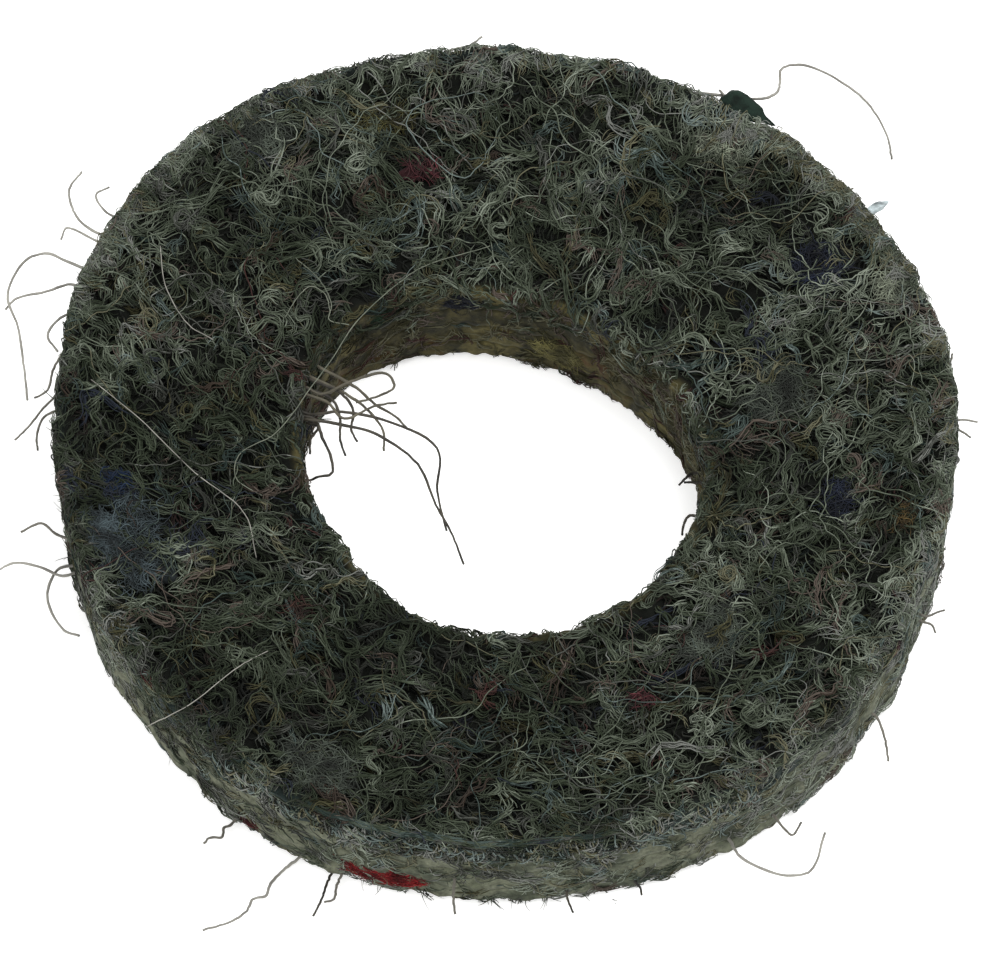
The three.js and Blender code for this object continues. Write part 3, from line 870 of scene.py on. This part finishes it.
# A core's brim strays in lobes: their size, their number, and how the lump's angle spins them
BRIM_LOBES = ((0.16, 3, 7), (0.1, 5, 13))
LUMP_RISE = 0.05
LUMP_SINK = 0.12
LUMP_HILLS = 0.03
LUMP_SHADES = (0.4, 0.65, 0.9, 1.15)


def lump_materials(slot):
    """A mottled core and some shades of loose fibre for one colour of wool."""
    base = WOOL[slot][0]
    stops = [(0.3, [0.2 * c for c in base]), (0.7, [0.6 * c for c in base])]
    core, _ = mottled(slot + "_core", (0.95,), CORE_SCALE, 8, stops, CORE_RELIEF)
    loose = [strand_material(f"{slot}_{number + 1}", [shade * c for c in base])
             for number, shade in enumerate(LUMP_SHADES)]
    return [core, *loose]


def lump_core(way0, angle0, across, along, depth):
    """A closed, soft-edged pad that follows the surface: two skins that meet at the brim."""
    rings, spokes = CORE_RINGS, CORE_SPOKES
    share = np.linspace(0, 1, rings)[1:, None]
    turn = np.linspace(0, 2 * math.pi, spokes, endpoint=False)[None, :]
    brim = sum((size * np.cos(lobes * turn + angle0 * spin) for size, lobes, spin in BRIM_LOBES), 1)
    way = way0 + across * brim * share * np.cos(turn)
    angle = angle0 + along * brim * share * np.sin(turn) / radius_at(way0)
    dome = np.sqrt(np.clip(1 - share**2, 0, 1)) * np.ones_like(turn)
    height = LUMP_RISE + LUMP_HILLS * waves(surface(way, angle, 0.0), 0.3, 21)
    upper = surface(way, angle, height * dome - depth)
    lower = surface(way, angle, -LUMP_SINK * dome - depth)
    centre = np.array([[way0]]), np.array([[angle0]])
    top_pole = surface(*centre, LUMP_RISE - depth).reshape(1, 3)
    bottom_pole = surface(*centre, -LUMP_SINK - depth).reshape(1, 3)
    vertices = np.concatenate([top_pole, upper.reshape(-1, 3), lower[:-1].reshape(-1, 3), bottom_pole])
    above = [1 + k * spokes for k in range(rings - 1)]
    below = [1 + (rings - 1 + k) * spokes for k in range(rings - 2)] + [above[-1]]
    bottom = len(vertices) - 1
    faces = []
    for j in range(spokes):
        n = (j + 1) % spokes
        faces.append((0, above[0] + j, above[0] + n))
        faces.append((bottom, below[0] + n, below[0] + j))
        for k in range(rings - 2):
            faces.append((above[k] + j, above[k + 1] + j, above[k + 1] + n, above[k] + n))
            faces.append((below[k] + n, below[k + 1] + n, below[k + 1] + j, below[k] + j))
    return vertices, faces


def add_core(piece, vertices, faces):
    """Joins a lump's core to its piece, with the piece's first material, which is the core's."""
    core = bpy.data.meshes.new("core")
    core.from_pydata([tuple(v * MM) for v in vertices], [], faces)
    work = bmesh.new()
    work.from_mesh(piece.data)
    loose = len(work.faces)
    work.from_mesh(core)
    work.faces.ensure_lookup_table()
    for face in work.faces[loose:]:
        face.material_index = 0
        face.smooth = True
    work.to_mesh(piece.data)
    work.free()
    bpy.data.meshes.remove(core)


# Lumps whose wool lies in trails rather than all over: each trail as radius and angle along it
TRAILS = {
    "blue_wool_patch": [((10.75, 189.6), (10.3, 195.7), (10.6, 202.4), (11.3, 206.3)),
                        ((11.5, 194.0), (11.45, 197.2), (11.3, 199.0))],
}
TRAIL_SPREAD = 0.2
SPOTS_DRAWN = 3
SPOT_CROWDING = 0.6
SPOTS_END = 0.95
SPOTS_EDGE = ((0.45, 0.6, SEED + 55),)


def own_draws(node):
    """Random draws of a node's own, the same in every run."""
    return np.random.default_rng(SEED + sum(ord(letter) for letter in node))


def lump_spots(rng, node, count):
    """Where the fibres of a lump lie on the surface map: denser in the middle, with a ragged outline."""
    way0, angle0, across, along = LUMP_PLACES[node]
    r0 = radius_at(way0)
    if node in TRAILS:
        spots = []
        for trail in TRAILS[node]:
            radius, angle = np.radians(np.array(trail)).T
            t = rng.uniform(0, len(trail) - 1, count // len(TRAILS[node]))
            r = np.degrees(np.interp(t, range(len(trail)), radius)) + rng.normal(0, TRAIL_SPREAD, len(t))
            a = np.interp(t, range(len(trail)), angle) + rng.normal(0, TRAIL_SPREAD, len(t)) / r0
            spots.append(np.stack([r * np.cos(a), r * np.sin(a)], 1))
        r, angle = off_wheel(np.concatenate(spots))
        return (TOP_FACE[0] + r - BORE_RADIUS - EDGE_ROUND)[:, None], angle[:, None]
    turn = rng.uniform(0, 2 * math.pi, (SPOTS_DRAWN * count, 1))
    far = rng.uniform(0, 1, (SPOTS_DRAWN * count, 1)) ** SPOT_CROWDING
    way = way0 + across * far * np.cos(turn)
    angle = angle0 + along * far * np.sin(turn) / r0
    inside = (far + layered(surface(way, angle, 0.0), SPOTS_EDGE) < SPOTS_END)[:, 0]
    return way[inside][:count], angle[inside][:count]


FEWEST_FIBRES = 40
FIBRE_AREA = 0.03
FIBRE_STEPS = 12
FIBRE_LENGTHS = (0.4, 1.3)
SHORTEST_SHARE = 0.35
FIBRE_RADII = (0.009, 0.017)
FIBRE_LEVELS = (-0.1, 0.03)
FIBRE_DIP = 0.06
FIBRE_TIP = 0.3
FIBRE_TIGHT = 0.8
# How curly fibres are, how thick, and which way they run, on a wall and on a face
WALL_FIBRES = (1.2, 0.7, (math.pi / 2, 0.35))
FACE_FIBRES = (2.4, 1.0, None)
SHADE_PATCH = 0.7
SHADE_JITTER = 0.5
SHADE_MIDDLE = 2.7
SHADE_SWAY = 0.9


def clump(node, slot, materials):
    """A lump of wool: a matted core with curly fibres of its own colour felted over it."""
    way0, angle0, across, along = LUMP_PLACES[node]
    rng = own_draws(node)
    in_wall = way0 < TOP_FACE[0] or way0 > TOP_FACE[1]
    swing, finer, heading = WALL_FIBRES if in_wall else FACE_FIBRES
    wanted = int(WOOL[slot][1] * math.pi * across * along / FIBRE_AREA)
    way, angle = lump_spots(rng, node, max(FEWEST_FIBRES, wanted))
    count = len(way)
    lengths = rng.uniform(*FIBRE_LENGTHS, count) * min(1.0, SHORTEST_SHARE + max(across, along))
    line_w, line_a, s = curls(rng, count, FIBRE_STEPS, lengths, swing, FIBRE_TIGHT, heading)
    r0 = radius_at(way0)
    middle = slice(FIBRE_STEPS // 2, FIBRE_STEPS // 2 + 1)
    way = way + line_w - line_w[:, middle]
    angle = angle + (line_a - line_a[:, middle]) / r0
    share = np.clip(s / lengths[:, None], *END_SHARES)
    bulge = np.sin(math.pi * share)
    level = rng.uniform(*FIBRE_LEVELS, (count, 1)) - FIBRE_DIP * (1 - bulge)
    inside = 1 - ((way - way0) / across) ** 2 - ((angle - angle0) * r0 / along) ** 2
    paths = surface(way, angle, level + LUMP_RISE * np.sqrt(np.clip(inside, 0, 1)))
    thick = finer * rng.uniform(*FIBRE_RADII, (count, 1)) * (FIBRE_TIP + (1 - FIBRE_TIP) * bulge ** 0.4)
    field = waves(paths, SHADE_PATCH, SEED + 56) + rng.normal(0, SHADE_JITTER, (count, 1))
    shade = np.clip(np.round(SHADE_MIDDLE + SHADE_SWAY * field), 1, len(LUMP_SHADES)).astype(int)[:, 1:]
    shade[0] = 0
    piece = tubes(node + "_wool", paths, thick, shade, materials, node=node)
    depth = WALL_CORE_SINK if in_wall else CORE_SINK
    add_core(piece, *lump_core(way0, angle0, CORE_SIZE * across, CORE_SIZE * along, depth))


for lump_slot, lump_nodes in LUMPS.items():
    slot_materials = lump_materials(lump_slot)
    for lump_node in lump_nodes:
        clump(lump_node, lump_slot, slot_materials)

felted("blue_spot", 25, (TOP_FACE[0] + 5.1, TOP_FACE[0] + 5.9), 42, 4, 10, (0.4, 1.0), (0.012, 0.022),
       (-0.04, 0.06), 40, {"blue": 5, "navy": 3}, "blue_wool", swing=3.4, angles=arc(-173.8, -169.6),
       clear=False)


# ---------------------------------------------------------------- crumbs caught in the rim
CHIP_CUTS = 11
CUT_DEPTHS = (0.5, 0.8)
PIT_SIZE = 0.5
PIT_DEPTH = 0.05
CHIP_FINISH = (0.8, 0.0, 0.1)
CHIP_SCALE = 3000
CHIP_RELIEF = (6000, 5, 0.04)


def chip(node, slot, base, transmission, thin_end):
    """A crumb of plastic in the place of its CAD solid: a pitted wedge, its thick end anticlockwise."""
    points = node_points(node)
    centre = 0.5 * (points.min(0) + points.max(0))
    axes = np.linalg.svd(points - points.mean(0), full_matrices=False)[2]
    if axes[0] @ (-centre[1], centre[0], 0.0) < 0:
        axes[0] *= -1
    half = 0.5 * np.ptp((points - centre) @ axes.T, axis=0)
    work = bmesh.new()
    bmesh.ops.create_icosphere(work, subdivisions=4, radius=1.0)
    rng = own_draws(node)
    places = np.array([vertex.co for vertex in work.verts])
    for _ in range(CHIP_CUTS):
        direction = rng.normal(size=3)
        direction /= np.linalg.norm(direction)
        over = np.clip(places @ direction - rng.uniform(*CUT_DEPTHS), 0, None)
        places = places - over[:, None] * direction
    places /= np.abs(places).max(0)
    slant = 0.5 * (1 + places[:, :1])
    places[:, 1:] *= thin_end + (1 - thin_end) * slant
    places += places * PIT_DEPTH * waves(places, PIT_SIZE, 61)[:, None]
    for vertex, place in zip(work.verts, centre + (places * half) @ axes):
        vertex.co = place * MM
    mesh = bpy.data.meshes.new(node + "_crumb")
    work.to_mesh(mesh)
    work.free()
    stops = [(0.35, [0.6 * c for c in base]), (0.5, base), (0.7, [min(255, 1.3 * c) for c in base])]
    material, shader = mottled(slot + "_skin", CHIP_FINISH, CHIP_SCALE, 6, stops, CHIP_RELIEF)
    shader.inputs["Transmission Weight"].default_value = transmission
    mesh.materials.append(material)
    join_frame(add_object(node + "_crumb", mesh), node)


chip("dark_rim_chip", "dark_chip", (24, 36, 30), 0.0, 0.25)
chip("clear_rim_chip", "clear_chip", (170, 180, 182), 0.3, 0.6)


# ---------------------------------------------------------------- loose hairs
HAIR_ROOT = 0.25
HAIR_RADIUS = 0.047
SHORT_HAIR_RADIUS = 0.042
BORE_HAIR_RADIUS = 0.045
FACE_HAIR_RADIUS = 0.023
BORE_HAIR_ROOT = 1.15
FACE_HAIR_END = 0.6
HAIR_SIDES = 8
STEPS_PER_POINT = 7
KINK_LENGTH = 0.5
KINK_SIZE = 0.006
KNOBS = 40
KNOB_SIZE = 0.08
HAIR_FINISH = (0.6, 0.05, 0.3)
HAIR_SCALE = 1500
HAIR_COLOURS = (("pale", (102, 100, 94), (142, 140, 132)), ("dull", (76, 73, 66), (112, 109, 100)),
                ("dark", (24, 22, 18), (60, 56, 46)), ("white", (70, 76, 64), (106, 110, 96)),
                ("brown", (54, 51, 42), (90, 86, 72)))
HAIR_MATERIALS = [mottled("hair_" + name, HAIR_FINISH, HAIR_SCALE, 4, [(0.35, low), (0.65, high)])[0]
                  for name, low, high in HAIR_COLOURS]
PALE, DULL, DARK, WHITE, BROWN = range(len(HAIR_COLOURS))


def smooth_line(points, steps):
    """A centripetal Catmull-Rom curve through points, at even shares of its spans."""
    points = np.asarray(points, float)
    points = np.vstack([2 * points[0] - points[1], points, 2 * points[-1] - points[-2]])
    line = []
    for p0, p1, p2, p3 in zip(points, points[1:], points[2:], points[3:]):
        t1 = np.linalg.norm(p1 - p0) ** 0.5
        t2 = t1 + np.linalg.norm(p2 - p1) ** 0.5
        t3 = t2 + np.linalg.norm(p3 - p2) ** 0.5
        t = np.linspace(t1, t2, steps, endpoint=False)[:, None]
        a1 = (t1 - t) / t1 * p0 + t / t1 * p1
        a2 = (t2 - t) / (t2 - t1) * p1 + (t - t1) / (t2 - t1) * p2
        a3 = (t3 - t) / (t3 - t2) * p2 + (t - t2) / (t3 - t2) * p3
        b1 = (t2 - t) / t2 * a1 + t / t2 * a2
        b2 = (t3 - t) / (t3 - t1) * a2 + (t - t1) / (t3 - t1) * a3
        line.append((t2 - t) / (t2 - t1) * b1 + (t - t1) / (t2 - t1) * b2)
    line.append(points[-2][None])
    return np.vstack(line)


def hair(name, points, shade, radius=HAIR_RADIUS, tip=0.7, node=None, root=1.0):
    """One loose hair through points in millimetres, with its thickness at the root and at the tip."""
    line = smooth_line(points, STEPS_PER_POINT)
    share = np.linspace(0, 1, len(line))
    spots = line[:, :1] + 3 * line[:, 1:2]
    kinks = np.stack([waves(spots + i, KINK_LENGTH, 71 + i) for i in range(3)], 1) * KINK_SIZE
    widths = radius * (root + (tip - root) * share) * (1 + KNOB_SIZE * np.sin(KNOBS * share))
    ids = np.full((1, len(line) - 1), shade)
    tubes(name, (line + kinks)[None], widths[None], ids, HAIR_MATERIALS, HAIR_SIDES, node)


def from_wall(radius, angle, height, path):
    """Places of a hair's points, from steps out from a wall, along it and up."""
    steps = np.array(path, float)
    out, along, up = steps.T
    c, s = math.cos(math.radians(angle)), math.sin(math.radians(angle))
    flat = np.stack([(radius + out) * c - along * s, (radius + out) * s + along * c], 1)
    spun = np.arctan2(flat[:, 1], flat[:, 0])
    return on_wheel(np.hypot(flat[:, 0], flat[:, 1]), spun, height + up)


def rim_hair(name, angle, height, path, shade, **more):
    """A hair rooted in the rim's wall."""
    points = from_wall(RIM_RADIUS, angle, height, [(-HAIR_ROOT, 0, 0), (0, 0, 0), *path])
    hair(name, points, shade, **more)


# The hairs of the CAD model: root angle, height, route, and shade
RIM_HAIRS = [
    (66.2, TOP - 0.6, [(0.2, -0.5, 0.1), (0.4, -1.2, 0.1), (0.72, -2.3, 0.1), (1.1, -2.6, 0.1),
                       (1.52, -2.52, 0), (1.92, -2.38, 0), (2.2, -2.62, 0), (2.38, -3.02, 0),
                       (2.44, -3.9, -0.2), (2.1, -5, -0.4), (1.45, -5.9, -0.7), (0.9, -6.3, -0.9)], PALE),
    (98, TOP - 0.6, [(0.3, -0.3, 0), (0.4, -0.9, -0.1), (0.6, -1.3, 0)], PALE),
    (149.3, TOP - 0.6, [(0.8, 0, 0), (1.4, -0.3, -0.1), (1.9, -0.9, -0.2), (1.9, -1.6, -0.3)], PALE),
    (154.2, TOP - 0.8, [(0.9, 0, 0), (1.4, 0, 0), (1.9, 0.4, -0.1), (2, 1.5, -0.4), (1.4, 2.2, -0.6),
                        (0.9, 3.1, -0.8), (0.4, 4.1, -1)], PALE),
    (156, TOP - 1.2, [(0.5, 0, 0), (1.1, 0.5, 0), (1.8, 1, -0.1), (2, 1.4, -0.2)], PALE),
    (159.8, TOP - 1.1, [(0.4, 0.3, 0), (0.6, 0.9, -0.1), (0.2, 1.3, -0.1)], PALE),
    (192.2, TOP - 1.6, [(0.3, -0.2, 0), (0.7, -0.6, 0.1), (1.3, -0.5, 0)], DULL),
    (195, BOTTOM + 1.5, [(0.5, 0, 0), (0.9, 0.7, -0.2), (0.7, 1.8, -0.3), (0.3, 2.1, -0.3)], PALE),
    (196.3, BOTTOM + 1.6, [(0.4, 0, 0), (1, -0.5, 0), (1.6, -0.8, 0), (2.2, -0.7, -0.1)], PALE),
    (235.1, BOTTOM + 0.3, [(0.22, 0, 0), (0.42, -0.1, 0), (0.68, 0.02, 0), (0.86, -0.22, 0),
                           (1.1, -0.32, -0.1)], DULL),
    (244.6, BOTTOM + 0.3, [(0.46, -0.2, 0), (1.08, -0.36, 0), (1.47, -0.32, 0), (1.7, -0.58, 0),
                           (2.1, -0.58, 0), (2.6, -0.82, 0), (3.2, -1.4, 0)], PALE),
    (264.3, BOTTOM + 1.4, [(0.5, 0, -0.1), (1, 0.1, -0.2)], DULL),
    (298.5, BOTTOM + 0.9, [(0.6, 0, 0), (1.2, 0.4, -0.1), (1.8, 0.9, 0), (2, 1.4, 0.2), (1.4, 2.2, 0.6)],
     PALE),
    (323.1, BOTTOM + 1.1, [(0.2, 0, 0), (0.7, -0.3, -0.2), (1.1, -0.7, -0.5)], DULL),
]
for number, row in enumerate(RIM_HAIRS, 1):
    rim_hair(f"loose_hair_{number}", *row, node=f"rim_hair_{number}")

# Shorter hairs that stand out of the rim
SHORT_HAIRS = [
    (165.1, 0.6, [(0.3, 0.6, -0.1), (0.4, 1.3, -0.2), (0.7, 1.6, -0.3)], DULL),
    (170.6, 0.4, [(0.4, 0.5, -0.1), (0.8, 1.2, -0.2), (1.1, 1.7, -0.2)], DULL),
    (173.3, 0.3, [(0.4, 0.2, -0.1), (0.6, 0.8, -0.2), (0.5, 1.2, -0.3)], DULL),
    (304.8, -0.9, [(0.6, 0, 0), (0.8, 0.1, -0.1), (0.7, 0.5, 0)], DULL),
    (250.1, -1.6, [(0.4, 0, 0), (0.74, 0.07, 0), (0.84, 0, 0), (0.93, -0.15, 0)], DULL),
    (248.9, -1.6, [(0.4, 0, 0), (0.8, 0.04, 0), (1.37, 0, -0.1)], DARK),
    (12.0, 0.4, [(0.2, 0.3, 0), (0.3, 0.5, 0.1)], DULL),
    (5.4, 0.2, [(0.3, 0, 0), (0.7, -0.1, 0)], PALE),
    (4.8, 0.1, [(0.3, -0.2, 0), (0.5, -0.4, 0)], PALE),
    (338.0, -0.4, [(0.2, 0, 0), (0.4, 0.2, 0), (0.6, 0.4, 0)], DULL),
    (337.4, -0.5, [(0.2, 0, 0), (0.4, 0, 0), (0.6, -0.2, 0)], DULL),
    (286.1, -1.3, [(0.2, 0.1, -0.1), (0.4, 0.1, -0.2)], DARK),
    (277.8, -1.3, [(0.2, 0, -0.1), (0.6, 0.1, -0.2)], DARK),
    (146.3, 1.2, [(0.6, 0, 0), (1.1, -0.3, 0), (0.9, -0.7, 0)], PALE),
    (150.2, 1.1, [(0.4, 0, 0), (0.9, 0, 0), (1.3, 0, -0.1), (1.3, 0.4, -0.1)], PALE),
    (60.2, 1.2, [(0.4, 0, 0.1), (0.5, 0.3, 0.2), (0.4, 0, 0.2), (0.3, -0.2, 0.2)], PALE),
]
for number, row in enumerate(SHORT_HAIRS, 1):
    rim_hair(f"short_hair_{number}", *row, radius=SHORT_HAIR_RADIUS)

# The tuft of hairs that hangs in the bore, as steps from the bore's wall, and three hairs across from it
BORE_HAIRS = [
    (164.4, 1.3, [(-0.2, 0, 0.1), (-1.3, -0.1, 0.1), (-2.2, -0.1, 0), (-3.5, 0.4, -0.2),
                  (-4.3, 1.4, -0.4), (-4.9, 2, -0.6), (-5.5, 2.8, -0.8)], DARK),
    (162.0, 1.3, [(-0.3, 0, 0), (-1, -0.2, 0.2), (-2.4, -0.3, 0.3), (-4, 0, 0.1), (-4.4, 1.2, -0.1),
                  (-5, 2.2, -0.3)], DARK),
    (154.9, 1.4, [(-0.5, 0, 0), (-1.1, -0.6, 0.2), (-1.9, -1.2, 0.3), (-2.3, -0.9, 0.3), (-2, -0.5, 0.2),
                  (-1.5, -0.1, 0.1)], BROWN),
    (163.2, 1.3, [(-0.4, 0, 0), (-0.8, 0.5, -0.1), (-1.1, 0.8, -0.3), (-1.3, 1.3, -0.4), (-1, 1.5, -0.4),
                  (-0.8, 1.6, -0.5), (-0.5, 1.8, -0.5)], DARK),
    (155.2, 1.4, [(-0.8, 0, 0), (-1.3, 0.5, 0.1), (-1.6, 1.1, 0), (-1.9, 1.4, -0.2)], DARK),
    (152.1, 1.4, [(-1, 0, 0), (-1.6, 0.4, 0.1), (-1.8, 0.9, 0), (-2.1, 1.1, -0.1)], DARK),
    (156.9, 1.4, [(-0.7, 0, 0), (-1.4, 0.4, 0.2), (-2, -0.3, 0.2), (-2.5, -0.7, 0.1)], BROWN),
    (151.4, 1.4, [(-1, 0, 0), (-1.9, 0.2, 0.1), (-2.6, 0.5, -0.1), (-2.9, 1, -0.2)], BROWN),
    (147.1, 1.3, [(-1.3, 0, 0), (-2, 0.2, 0.1), (-2.8, 0.2, 0), (-3.2, 0.3, -0.1)], BROWN),
    (163.5, 1.0, [(-0.5, 0, 0), (-0.4, 0.4, -0.1), (-0.5, 0.8, -0.2)], DARK),
    (4.6, 0.2, [(-0.2, 0, 0), (-0.4, -0.2, 0.1), (-0.6, -0.4, 0.1)], DARK),
    (1.6, 0.2, [(-0.1, 0, 0), (-0.3, 0, 0), (-0.5, 0, 0)], DARK),
    (350.1, 0.2, [(-0.3, 0, 0), (-0.4, -0.3, 0), (-0.4, -0.6, -0.1)], DARK),
]


def bore_hair(name, angle, height, path, shade):
    """A hair rooted in the bore's wall. Its route is laid out about the bore's centre."""
    steps = np.array([(HAIR_ROOT, 0, 0), (0, 0, 0), *path], float)
    root = on_wheel(np.array([BORE_RADIUS]), np.array([math.radians(angle)]), np.array([height]))[0]
    c, s = math.cos(math.radians(angle)), math.sin(math.radians(angle))
    x = root[0] + steps[:, 0] * c - steps[:, 1] * s
    y = root[1] + steps[:, 0] * s + steps[:, 1] * c
    hair(name, np.stack([x, y, height + steps[:, 2]], 1), shade, BORE_HAIR_RADIUS, root=BORE_HAIR_ROOT)


for number, row in enumerate(BORE_HAIRS, 1):
    bore_hair(f"bore_hair_{number}", *row)

# Long hairs that lie over the front face
FACE_HAIRS = [
    ([(-0.32, 6.06, 1.9), (-2.23, 5.32, 1.95), (-2.85, 4.83, 1.95), (-4.06, 3.5, 2), (-4.68, 2.37, 2),
      (-5.3, 1.36, 2), (-6.22, -0.04, 1.95), (-7.26, -0.75, 1.9), (-7.32, -1.5, 1.9),
      (-6.59, -2.02, 1.85)], WHITE),
    ([(-11.42, 1.68, 1.9), (-10.07, 0.43, 1.93), (-8.47, -1.32, 1.93), (-7.07, -2.6, 1.9),
      (-6.73, -3.97, 1.85)], PALE),
    ([(-9.6, -9.25, 1.9), (-8.44, -8.6, 1.95), (-7.1, -7.4, 1.95), (-6.36, -6.92, 1.9)], PALE),
    ([(-9.6, 6.06, 1.9), (-9.43, 4.75, 1.93), (-8.75, 3.47, 1.9), (-8.05, 2.99, 1.88)], PALE),
    ([(-5.8, 5.67, 1.9), (-5.1, 4.9, 1.95), (-4.76, 4.09, 1.95), (-4.82, 3.63, 1.9), (-4.26, 3.49, 1.85)],
     WHITE),
    ([(-6.06, 3.66, 1.95), (-5.66, 4.38, 2), (-5.32, 4.67, 2), (-4.93, 4.41, 1.95), (-4.79, 3.85, 1.9)],
     WHITE),
]
FACE_HAIR_SHIFT = (-0.02, -0.14, -0.03)
for number, (route, hair_shade) in enumerate(FACE_HAIRS, 1):
    laid = np.array(route) + FACE_HAIR_SHIFT
    hair(f"face_hair_{number}", laid, hair_shade, FACE_HAIR_RADIUS, FACE_HAIR_END, root=FACE_HAIR_END)


# ---------------------------------------------------------------- camera, floor and light
ELEVATION = math.radians(60)
LENS = 250.0
SENSOR = 36.0
FRAME_WIDTH = 27.95
FRAME_CENTRE = (-0.062, -0.54)
CLIP_START, CLIP_END = 0.001, 10
FLOOR_HALF = 2.0
FLOOR_GLOW = 0.45
FLOOR_STOPS = [(0.3, (236, 236, 235)), (0.7, (240, 240, 239))]
WORLD_LIGHT = 0.8
# Each light's name, place, size and power
LIGHTS = (("key", (0.07, 0.03, 0.22), 0.16, 0.5), ("fill", (-0.12, -0.16, 0.14), 0.16, 0.25))


def make_camera():
    """The photograph's view, from far in front of the wheel and above it."""
    data = bpy.data.cameras.new("camera")
    data.lens = LENS
    data.sensor_width = SENSOR
    data.clip_start = CLIP_START
    data.clip_end = CLIP_END
    camera = add_object("camera", data)
    back = np.array([0, -math.cos(ELEVATION), math.sin(ELEVATION)])
    up = np.array([0, math.sin(ELEVATION), math.cos(ELEVATION)])
    target = np.array([FRAME_CENTRE[0], 0, 0]) + up * FRAME_CENTRE[1]
    camera.location = (target + back * FRAME_WIDTH * LENS / SENSOR) * MM
    camera.rotation_euler = (math.pi / 2 - ELEVATION, 0, 0)
    bpy.context.scene.camera = camera


def area_light(name, location, size, power):
    """A square light that shines at the origin."""
    data = bpy.data.lights.new(name, "AREA")
    data.shape = "SQUARE"
    data.size = size
    data.energy = power
    light = add_object(name, data)
    light.location = location
    light.rotation_euler = (-light.location.normalized()).to_track_quat("-Z", "Y").to_euler()


def make_floor():
    """A pale floor that glows a little, so that the wheel's shadow on it stays soft."""
    z = BOTTOM * MM
    corners = [(x * FLOOR_HALF, y * FLOOR_HALF, z) for x, y in ((-1, -1), (1, -1), (1, 1), (-1, 1))]
    mesh = bpy.data.meshes.new("floor")
    mesh.from_pydata(corners, [], [(0, 1, 2, 3)])
    floor = add_object("floor", mesh)
    material, shader = mottled("floor_paint", (0.9, 0.0), 3, 2, FLOOR_STOPS)
    shader.inputs["Emission Color"].default_value = (1, 1, 1, 1)
    shader.inputs["Emission Strength"].default_value = FLOOR_GLOW
    mesh.materials.append(material)


def make_light():
    """Even light from all round, and two soft lights from the right and from the front left."""
    world = bpy.data.worlds.new("studio")
    world.use_nodes = True
    world.node_tree.nodes["Background"].inputs["Color"].default_value = (1, 1, 1, 1)
    world.node_tree.nodes["Background"].inputs["Strength"].default_value = WORLD_LIGHT
    bpy.context.scene.world = world
    for light in LIGHTS:
        area_light(*light)
    bpy.context.scene.view_settings.view_transform = "Standard"


make_camera()
make_floor()
make_light()
